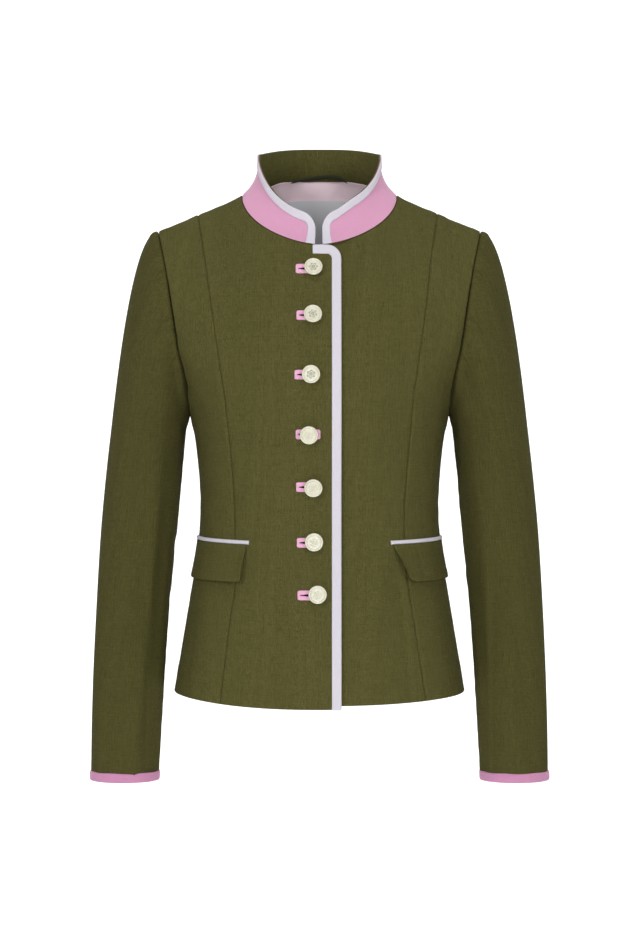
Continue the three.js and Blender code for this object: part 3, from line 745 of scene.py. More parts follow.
# Turn is in degrees: 0 is the sleeve's outer side, 90 its front and 180 the underarm seam
SLEEVE_FOLDS = table(
    "side turn z lean length width depth bend",
    (-1, 118, -470, 1, 195, 7, 2.0, 5),
    (-1, 141, -475, -2, 190, 9, -1.5, -6),
    (-1, 62, -280, 4, 120, 15, 0.9, 6),
    (-1, 88, -322, -3, 110, 11, -0.8, -5),
    (-1, 104, -196, -9, 58, 9, 0.9, 4),
    (-1, 128, -208, -16, 50, 9, -1.3, -5),
    (-1, 112, -575, 2, 72, 9, 1.2, 4),
    (-1, 131, -586, -4, 66, 9, -1.4, -5),
    (-1, 72, -396, 62, 24, 7, -0.8, 4),
    (-1, 96, -420, 54, 30, 6, 0.7, -4),
    (-1, 66, -470, 14, 66, 12, -0.8, 5),
    (-1, 74, -524, 48, 22, 7, -0.9, 3),
    (-1, 52, -560, 8, 60, 12, 0.9, -4),
    (-1, 88, -618, -6, 34, 9, -0.7, 4),
    (-1, 22, -340, 2, 160, 14, -0.9, 6),
    (-1, 30, -500, -3, 110, 13, 0.8, -5),
    (-1, 160, -292, 40, 34, 10, -0.7, 5),
    (-1, 168, -398, 66, 26, 10, -0.4, 4),
    (-1, 240, -388, 70, 44, 10, -2.2, 8),
    (-1, 252, -420, 82, 46, 9, 1.6, -7),
    (-1, 236, -452, 76, 40, 10, -1.9, 6),
    (-1, 286, -300, 6, 130, 15, -1.3, 7),
    (-1, 300, -470, -5, 130, 14, 1.1, -6),
    (-1, 228, -560, 8, 84, 13, -1.4, 6),
    (1, 125, -465, -2, 195, 7, 1.4, -5),
    (1, 147, -470, 3, 190, 9, -1.0, 5),
    (1, 95, -548, 3, 118, 10, 1.2, -5),
    (1, 70, -556, 5, 104, 13, -1.1, 5),
    (1, 60, -300, -4, 130, 16, -1.0, -6),
    (1, 92, -262, 4, 96, 12, 0.8, 5),
    (1, 118, -214, 12, 52, 9, -1.2, 4),
    (1, 100, -180, 8, 44, 8, 0.8, -4),
    (1, 80, -402, -58, 26, 7, -0.8, -4),
    (1, 104, -438, -50, 28, 6, 0.6, 4),
    (1, 114, -506, -30, 26, 7, -0.7, -3),
    (1, 84, -590, -52, 22, 6, -0.8, 3),
    (1, 60, -616, 6, 34, 9, 0.7, -4),
    (1, 26, -360, -3, 150, 14, -1.0, -6),
    (1, 34, -530, 4, 96, 12, 0.8, 5),
    (1, 162, -300, -42, 34, 10, -0.7, -5),
    (1, 170, -412, -62, 28, 10, -0.4, -4),
    (1, 244, -396, -72, 46, 10, -2.1, -8),
    (1, 232, -428, -80, 42, 9, 1.6, 6),
    (1, 250, -462, -74, 38, 10, -1.8, -6),
    (1, 290, -310, -5, 140, 15, -1.2, -7),
    (1, 304, -480, 6, 120, 13, 1.1, 6),
    (1, 222, -566, -8, 80, 13, -1.4, -6),
)
SLEEVE_FOLDS["across"] = np.radians(SLEEVE_FOLDS["turn"]) * SLEEVE_GIRTH
sleeve_at = {column: curve(SLEEVE, column) for column in ("outer", "inner", "front", "back")}


def sleeve_section(turn, z):
    middle = (sleeve_at["outer"](z) + sleeve_at["inner"](z)) / 2
    half = (sleeve_at["outer"](z) - sleeve_at["inner"](z)) / 2
    centre = (sleeve_at["back"](z) - sleeve_at["front"](z)) / 2
    reach = (sleeve_at["back"](z) + sleeve_at["front"](z)) / 2
    x = middle + half * np.cos(turn)
    return np.stack([x, centre - reach * np.sin(turn), np.broadcast_to(z, x.shape)], axis=-1)


def armhole_seam(turn):
    z = lerp(UNDERARM, ARMHOLE["z"][0], (1 + np.cos(turn)) / 2)
    x = armhole_x(z)
    front = np.sin(turn) >= 0
    roundness = np.where(front, FRONT_ROUNDNESS, back_roundness(x))
    reach = armhole_reach(z) * rounded(np.maximum(shoulder_height(x) - z, 0) / roundness)
    return np.stack([x + SEAM_GAP, np.where(front, -reach, reach), z], axis=-1)


def cap_surface(turn, share):
    start = armhole_seam(turn)
    end = sleeve_section(turn, SLEEVE["z"][0])
    x = lerp(start[..., 0], end[..., 0], share**CAP_ROLL)
    ease = CAP_EASE * np.sin(share * math.pi) * np.sin(turn)
    y = lerp(start[..., 1], end[..., 1], share) - ease
    return np.stack([x, y, lerp(start[..., 2], end[..., 2], share)], axis=-1)


def grid_normals(points, ring=False):
    """Which way each point of a grid faces."""
    around = np.concatenate([points[:, -1:], points, points[:, :1]], axis=1) if ring else points
    across = np.gradient(around, axis=1)
    across = across[:, 1:-1] if ring else across
    return unit(np.cross(across, np.gradient(points, axis=0)))


def sleeve_relief(side, turn, surface, from_head):
    """The folds, the seams at the head and under the arm, and the ease over the head."""
    up = surface[..., 2]
    girth = measured_across(surface)
    to_seam = np.minimum(girth, girth[:, -1:] - girth)
    head = smoothstep(np.cos(turn), HEAD["from"], HEAD["to"])[None, :]
    relief = folds(SLEEVE_FOLDS, np.mod(turn, 2 * math.pi)[None, :] * SLEEVE_GIRTH, up, side)
    relief *= smoothstep(from_head, 0, FOLDS_START)
    relief += pressed_seam(from_head, girth, SLEEVE_PUCKER_START["head"] + side)
    relief += HEAD["rise"] * head * bell(from_head - HEAD["at"], HEAD["width"])
    relief -= ARMHOLE_SINK["depth"] * (1 - head) * bell(from_head, ARMHOLE_SINK["width"])
    seam = pressed_seam(to_seam, up, SLEEVE_PUCKER_START["under"] - side)
    return relief + seam * smoothstep(from_head, SEAM_START["from"], SEAM_START["to"])


def sleeve_grid(side):
    around = steps(SLEEVE_ROUND)
    turn = math.pi + around * 2 * math.pi
    cap_share = np.linspace(0, 1, CAP_ROWS)[:, None] ** 2
    tube_share = steps(SLEEVE["z"][0] - CUFF)[len(EDGE_STEPS) :, None]
    tube = sleeve_section(turn[None, :], lerp(SLEEVE["z"][0], CUFF, tube_share))
    surface = np.concatenate([cap_surface(turn[None, :], cap_share), tube])
    from_head = measured(surface, 0)
    relief = sleeve_relief(side, turn, surface, from_head)
    normals = grid_normals(surface[:, :-1], ring=True)
    normals = np.concatenate([normals, normals[:, :1]], axis=1)
    # Right beside the armhole seam the cloth may move up and back, but not sideways
    normals[..., 0] *= smoothstep(from_head, 0, FREE_SIDEWAYS)
    normals = unit(normals)
    middle = surface.mean(axis=1, keepdims=True)
    normals *= np.sign(((surface - middle) * normals).sum())
    layers = [surface + normals * (relief - depth)[..., None] for depth in (0, CLOTH)]
    for layer in layers:
        layer[..., 0] *= side
    straight = np.broadcast_to((around - 0.5) * SLEEVE_ROUND, relief.shape)
    cut = np.stack([straight, -measured(surface, CAP_ROWS - 1)], axis=-1)
    return layers[0][:, :-1], layers[1][:, :-1], cut


# A darker copy of the olive linen: painted shade on the sleeves
SHADED_SLEEVE_OLIVE = cloth_material("olive linen with painted sleeve shade", (54, 52, 23), (97, 93, 53), **LINEN_WEAVE)

for name, sign in SIDES.items():
    grids = sleeve_grid(sign)
    add_sheet("linen", f"sleeve_{name}", grids, SHADED_SLEEVE_OLIVE, ring=True)

# Cuff bindings
# A strip of smooth rose cloth, folded over the raw edge of each sleeve and stitched through, so
# it is round at the foot and stands a little out from the linen.

# The strip's profile from its outer edge round the foot to its inner edge: out from the sleeve
# and up from its foot
BINDING = table(
    "out up",
    (0.1, 9.9),
    (0.8, 9.7),
    (1.2, 8.9),
    (1.4, 7.2),
    (1.5, 5.0),
    (1.5, 2.4),
    (1.4, 0.7),
    (0.8, -0.3),
    (-0.4, -0.6),
    (-1.6, -0.3),
    (-2.3, 0.8),
    (-2.5, 2.6),
    (-2.4, 5.5),
    (-2.1, 8.6),
)
BINDING_WALL = 0.5
BINDING_DROP = 0.3
BINDING_WAVES = {"broad": 0.22, "fine": 0.16, "upper_edge": 0.25}

ROSE_WEAVE = {"threads": 2600, "relief": 0.08, "roughness": 0.62}
ROSE = cloth_material("rose cloth", (182, 120, 156), (211, 151, 186), slubs=0.4, sheen=0.2, **ROSE_WEAVE)


def cuff_binding(side):
    turn = math.pi + steps(SLEEVE_ROUND)[:-1] * 2 * math.pi
    profile_out, profile_up = BINDING["out"][:, None], BINDING["up"][:, None]
    wave = BINDING_WAVES["broad"] * np.sin(5 * turn + side)
    wave += BINDING_WAVES["fine"] * np.sin(11 * turn + 2)
    out = profile_out + np.where(profile_out > 1, wave, 0)
    surface = sleeve_section(turn[None, :], CUFF - BINDING_DROP + profile_up)
    surface[..., 0] += out * np.cos(turn)
    surface[..., 1] -= out * np.sin(turn)
    surface[..., 2] += np.where(profile_up > 9, BINDING_WAVES["upper_edge"] * np.sin(7 * turn + side), 0)
    normals = grid_normals(surface, ring=True)
    widest = BINDING["out"].argmax()
    outward = (normals[widest] * (surface[widest] - surface[widest].mean(axis=0))).sum()
    inside = surface - normals * math.copysign(BINDING_WALL, outward)
    closed = np.concatenate([surface, surface[:, :1]], axis=1)
    cut = np.stack([measured_across(closed), measured(closed, 0)], axis=-1)
    for layer in (surface, inside):
        layer[..., 0] *= side
    return surface, inside, cut


for name, sign in SIDES.items():
    grids = cuff_binding(sign)
    add_sheet("cloth", f"cuff_binding_{name}", grids, ROSE, ring=True)

# Stand collar
# Two layers sewn together along the top and the front ends and turned out: smooth rose cloth
# outside and the jacket's linen inside, stiffened so that the collar stands by itself.

COLLAR = {"front": 34, "side": 46.5, "back": 37.5, "swell": 2}
COLLAR_LEAN = {"front": 14, "side": 19, "back": 12}
COLLAR_LEFT = {"higher": 8, "from": 10, "to": 50}
COLLAR_RISING = 1.5
COLLAR_FLARE = 3
COLLAR_TURNING = 4.5
TOP_INSET = {"outer": 0.9, "inner": 0.2}
COLLAR_FOOT = 8
COLLAR_END = {"right": 5, "left": 3.5}
COLLAR_CORNER = 18
COLLAR_LAYERS = {"outer": (0.0, 1.0), "inner": (1.5, 2.8)}
CORNER_COLUMNS = np.linspace(3, 24, 12)
SEAM = 0.3

# The inner layer turns down less behind the neck than in front. Both layers bend together at
# their edges, sink into the neck seam and wave a little
TURNING_BEHIND = {"share": 0.3, "from": 20, "to": -10}
COLLAR_BEND = {"depth": 0.55, "width": 0.9}
COLLAR_SINK = {"depth": 0.9, "width": 1.1}
COLLAR_WAVE = {"depth": 0.12, "along": 9, "up": 13}

# Points of the panels' top edges this near to a corner or to the back middle are left out
NECK_CLEAR = {"front": 0.5, "back": 0.3}

# A lighter copy of the rose cloth: painted light on the collar
LIT_COLLAR_ROSE = cloth_material(
    "rose cloth with painted collar light", (198, 138, 170), (224, 168, 197), slubs=0.22, sheen=0.2, **ROSE_WEAVE
)


def neck_seam():
    """The points of the neck seam, from the right collar end round the back to the left end."""
    sides = {}
    for name, sign in SIDES.items():
        top = panels[f"front_{name}_centre"][3]
        x = top[:, 0] * sign
        order = np.argsort(x)
        at_end = [np.interp(COLLAR_END[name], x[order], top[order, i]) for i in range(3)]
        front = top[(x > COLLAR_END[name] + NECK_CLEAR["front"]) & (x < NECK_HALF - NECK_CLEAR["front"])]
        back = panels[f"back_{name}"][3]
        across = np.abs(back[:, 0])
        back = back[(across < NECK_HALF + SEAM_GAP) & (across > NECK_CLEAR["back"])]
        sides[name] = np.concatenate([[at_end], front, back[::-1]])
    return np.concatenate([sides["right"], sides["left"][::-1]])


neck = neck_seam()
neck_at = np.concatenate([[0], np.cumsum(np.linalg.norm(np.diff(neck, axis=0), axis=1))])
NECK_LENGTH = neck_at[-1]


def neck_point(along):
    return np.stack([np.interp(along, neck_at, neck[:, i]) for i in range(3)], axis=-1)


def collar_rise(foot):
    share = (foot[..., 0] / NECK_HALF) ** 2
    higher = COLLAR_LEFT["higher"] * smoothstep(foot[..., 0], COLLAR_LEFT["from"], COLLAR_LEFT["to"])
    front = lerp(COLLAR["front"], COLLAR["side"], share**COLLAR_RISING) + higher * (1 - share)
    back = lerp(COLLAR["back"], COLLAR["side"], share)
    back += COLLAR["swell"] * share * np.maximum(1 - share, 0)
    return np.where(foot[..., 1] < 0, front, back)


def collar_top(along):
    """The collar's height, rounded down to its front ends."""
    in_corner = np.maximum(COLLAR_CORNER - np.minimum(along, NECK_LENGTH - along), 0)
    drop = COLLAR_CORNER - np.sqrt(np.maximum(COLLAR_CORNER**2 - in_corner**2, 0))
    return collar_rise(neck_point(along)) - drop


def collar_point(along, height, out):
    foot = neck_point(along)
    share = np.abs(foot[..., 0]) / NECK_HALF
    rise = collar_rise(foot)
    end_lean = np.where(foot[..., 1] < 0, COLLAR_LEAN["front"], COLLAR_LEAN["back"])
    lean = lerp(end_lean, COLLAR_LEAN["side"], share**2)
    left = 1 - np.minimum(height / rise, 1)
    outward = unit(foot * [1, 1, 0])
    turned = np.clip(height / COLLAR_FOOT, 0, 1)
    tilt = turned * lean * COLLAR_FLARE * left ** (COLLAR_FLARE - 1) / rise
    normal = unit(outward + tilt[..., None] * [0, 0, 1])
    inward = (lean * np.maximum(1 - left**COLLAR_FLARE, 0))[..., None]
    raised = (SEAM + height)[..., None] * [0, 0, 1]
    return foot - outward * inward + raised + normal * np.asarray(out)[..., None]


def under_lap(foot):
    """How far the left front lies below the lap, along the neck seam."""
    hidden = (foot[..., 0] > 0) & (foot[..., 1] < 0)
    return np.where(hidden, LAP_DEPTH * (1 - smoothstep(foot[..., 0], LAP_START, LAP_END)), 0)


def collar_layer(near, far, inset, turning):
    """One layer, a little short of the braid at its top and with its foot turned down inside."""
    even = steps(NECK_LENGTH) * NECK_LENGTH
    along = np.unique(np.concatenate([even, CORNER_COLUMNS, NECK_LENGTH - CORNER_COLUMNS]))
    share = steps(COLLAR["side"])[:, None]
    in_front = smoothstep(neck_point(along)[..., 1], TURNING_BEHIND["from"], TURNING_BEHIND["to"])
    foot = -turning * lerp(TURNING_BEHIND["share"], 1, in_front)
    height = lerp(foot, collar_top(along) - inset, share)
    along = np.broadcast_to(along, height.shape)
    to_end = np.minimum(along, NECK_LENGTH - along)
    edge = bell((1 - share) * COLLAR["side"], COLLAR_BEND["width"]) + bell(to_end, COLLAR_BEND["width"])
    middle = (COLLAR_LAYERS["outer"][0] + COLLAR_LAYERS["inner"][1]) / 2
    bent = np.sign(near - middle) * COLLAR_BEND["depth"] * np.minimum(edge, 1)
    sunk = COLLAR_SINK["depth"] * bell(np.maximum(height, 0), COLLAR_SINK["width"])
    wave = np.sin(along / COLLAR_WAVE["along"] + 1) * np.sin(height / COLLAR_WAVE["up"])
    sunk += COLLAR_WAVE["depth"] * wave
    sunk += under_lap(neck_point(along)) * np.clip(-height / COLLAR_TURNING, 0, 1)
    layers = [collar_point(along, height, -depth - sunk + bent) for depth in (near, far)]
    return *layers, np.stack([along, height], axis=-1)


for name, (near, far) in COLLAR_LAYERS.items():
    turning = COLLAR_TURNING if name == "inner" else 0
    material, slot = (LIT_COLLAR_ROSE, "rose_cloth") if name == "outer" else (OLIVE, "olive_linen")
    grids = collar_layer(near, far, TOP_INSET[name], turning)
    add_sheet("cloth", f"collar_{name}", grids, material)

# Braids
# Pale lilac braid, 10.5 mm wide, stitched flat along the collar's top and front ends and down
# the lap from the neck to the hem, eased round each corner.

BRAID = 10.5
BRAID_START = -7.4
BRAID_BELOW_HEM = 0.6
BRAID_CLEAR = 0.15
BRAID_EDGE = 0.05
BRAID_THICK = 1.3
BRAID_ACROSS = np.array([0, 0.03, 0.08, 0.15, 0.28, 0.42, 0.58, 0.72, 0.85, 0.92, 0.97, 1])
QUARTER_TURN = np.linspace(0, math.pi / 2, 14)

BRAID_WEAVE = {"threads": 1900, "slubs": 0.12, "relief": 0.12, "roughness": 0.7, "sheen": 0.2}
LILAC = cloth_material("lilac braid", (200, 195, 206), (222, 218, 226), **BRAID_WEAVE)


def bulged(share, flatness):
    """How far a soft band rises between its edges, 0 to 1. More flatness makes it more level."""
    return np.sqrt(np.maximum(1 - np.abs(2 * share - 1) ** flatness, 0))[:, None]


def ribbon(name, outer, inner, place, thick=BRAID_THICK, flatness=6):
    """A flat band between two edges, given as places on a surface, with soft rounded edges."""
    at = lerp(outer, inner, BRAID_ACROSS[:, None, None])
    top = place(at[..., 0], at[..., 1], BRAID_CLEAR + BRAID_EDGE + thick * bulged(BRAID_ACROSS, flatness))
    under = place(at[..., 0], at[..., 1], BRAID_CLEAR)
    across = measured(top, 0)
    middle = measured_across(top)[len(BRAID_ACROSS) // 2 - 1]
    cut = np.stack([np.broadcast_to(middle, across.shape), across], axis=-1)
    return shell(name, top, under, cut), cut


def path(*legs):
    """One line of places, from legs that each give their first and their second values."""
    return np.concatenate([np.stack(np.broadcast_arrays(*leg), axis=-1) for leg in legs])


def collar_braid(name):
    def along(from_end):
        return NECK_LENGTH - from_end if name == "left" else from_end

    def place(from_end, height, out):
        return collar_point(along(from_end), height, out)

    turn_at = float(collar_top(along(COLLAR_CORNER))) - COLLAR_CORNER
    upright = np.linspace(0, turn_at, 8)[:-1]
    level = np.linspace(COLLAR_CORNER, NECK_LENGTH / 2 - SEAM_GAP, 70)[1:]

    def edge(inset):
        radius = COLLAR_CORNER - inset
        turned = COLLAR_CORNER - radius * np.cos(QUARTER_TURN), turn_at + radius * np.sin(QUARTER_TURN)
        return path((inset, upright), turned, (level, collar_top(along(level)) - inset))

    return ribbon(f"collar_band_{name}_braid", edge(0), edge(BRAID), place)


def front_point(x, z, out):
    """A point on the overlapping front by its place seen from the front."""
    return body_point(-1, angle_at("front", -x, z), z, out)


def front_braid():
    corner_x, corner_z = LAP - LAP_CORNER, FRONT_NECK_DROP - LAP_CORNER
    level = np.linspace(BRAID_START, corner_x, 9)[:-1]
    down = np.linspace(corner_z, SIDE_HEM - HEM_DROP["right"] - BRAID_BELOW_HEM, 150)[1:]

    def edge(inset):
        radius = LAP_CORNER - inset
        turned = corner_x + radius * np.sin(QUARTER_TURN), corner_z + radius * np.cos(QUARTER_TURN)
        return path((level, FRONT_NECK_DROP - inset), turned, (LAP - inset, down))

    return ribbon("front_band_braid", edge(0), edge(BRAID), front_point)


for name in SIDES:
    piece, cut = collar_braid(name)
    add_piece(piece, LILAC, f"collar_band_{name}", cut)
piece, cut = front_braid()
add_piece(piece, LILAC, "front_band", cut)

# Pocket flaps and piping
# A linen flap hangs over each pocket, wraps round the side and stands off the jacket at its
# front corner. Its upper edge is covered by a fine lilac piping that ends in a small round end.

FLAP = {
    "right": {"top": 81, "bottom": 80, "corner": 5},
    "left": {"top": 82, "bottom": 93, "corner": 9},
}
FLAP_BEHIND = 0.2
FLAP_SEEN_AT = -407.5
FLAP_FRONT = -390.5
FLAP_SIDE = -385.5
FLAP_DEPTH = 42
FLAP_LENGTH = 130
FLAP_CLEAR = 0.5
FLAP_STAND = {"front": 10.0, "side": 0.2, "falling": 0.4, "hanging": 1.3}
FLAP_ROLL = {"depth": 0.7, "width": 0.8}
FLAP_WAVE = {"depth": 0.35, "close": 19}
FLAP_ALLOWANCE = {"height": 0.25, "inside": 7, "outside": 8.5}
PIPING = {"height": 4.4, "thick": 2.5, "before": 2.5, "above": 0.2, "round": 1.6, "least": 0.15}


def flap_angle(name, share, down):
    front = lerp(FLAP[name]["top"], FLAP[name]["bottom"], down)
    start = angle_at("front", front, np.full_like(share, FLAP_SEEN_AT))
    return lerp(start, math.pi / 2 + FLAP_BEHIND, share)


def flap_z(share, down):
    return lerp(FLAP_FRONT, FLAP_SIDE, share) - down * FLAP_DEPTH


def pocket_flap(name, sign):
    share, down = np.meshgrid(steps(FLAP_LENGTH), steps(FLAP_DEPTH))
    radius = FLAP[name]["corner"]
    in_corner = np.maximum(radius - share * FLAP_LENGTH, 0)
    foot = 1 - (radius - np.sqrt(radius**2 - in_corner**2)) / FLAP_DEPTH
    to_edge = np.minimum((1 - down) * FLAP_DEPTH, share * FLAP_LENGTH)
    stand = lerp(FLAP_STAND["front"], FLAP_STAND["side"], share ** FLAP_STAND["falling"])
    relief = FLAP_CLEAR + stand * np.sin(down * math.pi / 2) ** FLAP_STAND["hanging"]
    relief -= FLAP_ROLL["depth"] * bell(to_edge, FLAP_ROLL["width"])
    relief += FLAP_WAVE["depth"] * np.sin(share * FLAP_WAVE["close"] + sign) * down
    allowance = smoothstep(to_edge, FLAP_ALLOWANCE["outside"], FLAP_ALLOWANCE["inside"])
    relief += FLAP_ALLOWANCE["height"] * allowance
    angle = flap_angle(name, share, down * foot)
    z = flap_z(share, down * foot)
    layers = [body_point(sign, angle, z, relief + out) for out in (CLOTH, 0)]
    return *layers, np.stack([angle * GIRTH * sign, z], axis=-1)


def pocket_piping(name, sign):
    share = steps(FLAP_LENGTH)
    before = PIPING["before"] / FLAP_LENGTH * (1 - share)
    angle = flap_angle(name, share - before, np.zeros_like(share))
    foot = flap_z(share, 0) + PIPING["above"]

    def place(angle, z, out):
        end = np.minimum((angle - angle[:, :1]) * GIRTH / PIPING["round"], 1)
        round_end = np.maximum(np.sqrt(1 - (1 - end) ** 2), PIPING["least"])
        return body_point(sign, angle, z, FLAP_CLEAR / 2 + (out - BRAID_CLEAR) * round_end)

    upper = np.stack([angle, foot + PIPING["height"]], axis=-1)
    lower = np.stack([angle, foot], axis=-1)
    return ribbon(f"pocket_piping_{name}_cord", upper, lower, place, PIPING["thick"], 2)[0]


for name, sign in SIDES.items():
    add_piece(pocket_piping(name, sign), LILAC, f"pocket_piping_{name}")
    grids = pocket_flap(name, sign)
    add_sheet("linen", f"pocket_flap_{name}", grids, OLIVE)

# Bound buttonholes
# Two lips of rose cloth round each slit, sewn down along their outer edge. The shank of the
# button pulls the slit open near it, and the deep shade inside is painted on a dark sheet under it.

BUTTONS = table(
    "z x hole",
    (-87.4, -6.6, -26.2),
    (-139.4, -7.1, -25.2),
    (-204.7, -9.1, -27.2),
    (-269.6, -11.2, -25.9),
    (-327, -6.6, -25.5),
    (-387.9, -5.8, -24.8),
    (-444.9, -2, -24),
)
HOLE = {"length": 27, "height": 10.7, "end": 3, "thick": 1.5, "edge": 0.1, "square": 0.22, "wave": 0.06}
SLIT = {"least": 0.3, "open": 1.9, "reach": 12, "blunt": 0.8, "full": 0.6}
SHADE = {"beyond": 1, "half": 2.2, "layers": (0.14, 0.06)}
LIP_STEPS = np.array([0, 0.06, 0.16, 0.32, 0.5, 0.68, 0.84, 0.94, 1])

# A lighter copy of the rose cloth: painted light on the buttonhole lips
LIT_LIP_ROSE = cloth_material(
    "rose cloth with painted lip light", (216, 156, 190), (240, 186, 214), slubs=0.22, sheen=0.25, **ROSE_WEAVE
)
SHADE_WEAVE = {"threads": 1500, "slubs": 0.3, "relief": 0.1, "roughness": 0.9}
PAINTED_SLIT_SHADE = cloth_material("painted slit shade", (16, 17, 8), (30, 30, 15), **SHADE_WEAVE)


def buttonhole(index):
    start, middle = BUTTONS["hole"][index], BUTTONS["z"][index]
    turn = np.linspace(0, 2 * math.pi, 73)[:-1]
    cosine, sine = np.cos(turn), np.sin(turn)
    half = HOLE["length"] / 2
    across = half * signed_power(cosine, HOLE["square"])
    up = HOLE["height"] / 2 * signed_power(sine, HOLE["square"])
    along = (half - HOLE["end"]) * signed_power(cosine, SLIT["blunt"])
    shank = BUTTONS["x"][index] - start - half
    opened = SLIT["least"] + SLIT["open"] * bell(along - shank, SLIT["reach"])
    outer = np.stack([across, up], axis=-1)
    inner = np.stack([along, opened * signed_power(sine, SLIT["full"])], axis=-1)
    flat = lerp(inner, outer, LIP_STEPS[:, None, None]) + [start + half, middle]
    wave = 1 + HOLE["wave"] * np.sin(3 * turn + index)
    raised = HOLE["edge"] + HOLE["thick"] * bulged(LIP_STEPS, 3) * wave
    layers = [front_point(flat[..., 0], flat[..., 1], BRAID_CLEAR + out) for out in (raised, 0)]
    cut = np.concatenate([flat, flat[:, :1]], axis=1)
    return shell(f"buttonhole_{index + 1}_lips", *layers, cut, ring=True)


# A near-black sheet under each slit: painted shade for the opened buttonhole's inside
def painted_slit_shade(index):
    ends = HOLE["end"] - SHADE["beyond"], HOLE["length"] - HOLE["end"] + SHADE["beyond"]
    x = BUTTONS["hole"][index] + np.linspace(*ends, 9)
    z = BUTTONS["z"][index] + np.linspace(-SHADE["half"], SHADE["half"], 4)
    across, up = np.meshgrid(x, z)
    layers = [front_point(across, up, out) for out in SHADE["layers"]]
    return shell(f"buttonhole_{index + 1}_inside", *layers, np.stack([across, up], axis=-1))


for index in range(len(BUTTONS["z"])):
    add_piece(buttonhole(index), LIT_LIP_ROSE, f"buttonhole_{index + 1}")
    shade = painted_slit_shade(index)
    shade.data.materials.append(PAINTED_SLIT_SHADE)
    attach(shade, "root")

# Buttons
# Turned discs of ivory horn with a raised rim and a short shank. The face carries a small cut
# flower filled with grey, drawn strong on the upper three and faint on the others as painted highlight.

BUTTON_PROFILE = table(
    "radius height",
    (0.0, 0.0),
    (2.4, 0.0),
    (2.5, 1.5),
    (8.8, 2.1),
    (9.6, 2.6),
    (10.0, 3.4),
    (9.95, 4.1),
    (9.6, 4.7),
    (9.1, 4.95),
    (8.5, 4.9),
    (8.0, 4.5),
    (7.7, 3.9),
    (7.3, 3.75),
    (6.8, 3.9),
)
BUTTON_LIFT = 2.1
BUTTON_CREASE = 50
FACE_RINGS = 27
BUTTON_SIDES = 96
FILLED = {"buttons": 3, "full": 0.8, "worn": 0.14}
FLOWER = {"petals": 6, "radius": 4.3, "eye": 1.1, "line": 0.58, "cut": 0.25, "turned": 0.3}
PETAL = {"waist": 0.45, "tip": 0.7}
VEIN = {"width": 0.9, "depth": 0.7, "start": 0.6, "fading": 3.2, "end": 4.0}


def flower(radius, turn):
    """How deep the cut flower is at a place of the face, 0 to 1."""
    swell = np.abs(np.cos(turn * FLOWER["petals"] / 2)) ** PETAL["tip"]
    petal = FLOWER["radius"] * lerp(PETAL["waist"], 1, swell)
    outline = bell(radius - petal, FLOWER["line"])
    eye = bell(radius - FLOWER["eye"], FLOWER["line"])
    vein = VEIN["depth"] * bell(radius * np.sin(turn * FLOWER["petals"] / 2), VEIN["width"])
    vein *= smoothstep(radius, FLOWER["eye"], FLOWER["eye"] + VEIN["start"])
    vein *= smoothstep(radius, VEIN["end"], VEIN["fading"])
    return np.clip(outline + eye + vein, 0, 1)


def ivory_material():
    material, tree, shader = new_material("ivory")
    place = add_node(tree, "ShaderNodeTexCoord")
    grain = add_node(tree, "ShaderNodeTexNoise")
    feed(grain, {"Vector": Signal(tree, place.outputs["Object"]), "Scale": 160, "Detail": 3})
    horn = mixed(Signal(tree, grain.outputs["Fac"]), (197, 194, 170), (222, 220, 201))
    filling = add_node(tree, "ShaderNodeAttribute", attribute_name="filling")
    colour = mixed(Signal(tree, filling.outputs["Fac"]), horn, (112, 112, 102))
    feed(shader, {"Base Color": colour, "Roughness": 0.3, "Coat Weight": 0.25})
    feed(shader, {"Subsurface Weight": 0.15, "Subsurface Scale": 0.002})
    return material


IVORY = ivory_material()


def button_faces(rings):
    """The faces of rings of points, closed by one point at the foot and one in the face."""
    foot, tip = rings * BUTTON_SIDES, rings * BUTTON_SIDES + 1
    last = (rings - 1) * BUTTON_SIDES
    faces = []
    for i in range(BUTTON_SIDES):
        j = (i + 1) % BUTTON_SIDES
        faces.append((foot, j, i))
        faces.append((tip, last + i, last + j))
        for low in range(0, last, BUTTON_SIDES):
            high = low + BUTTON_SIDES
            faces.append((low + i, low + j, high + j, high + i))
    return faces


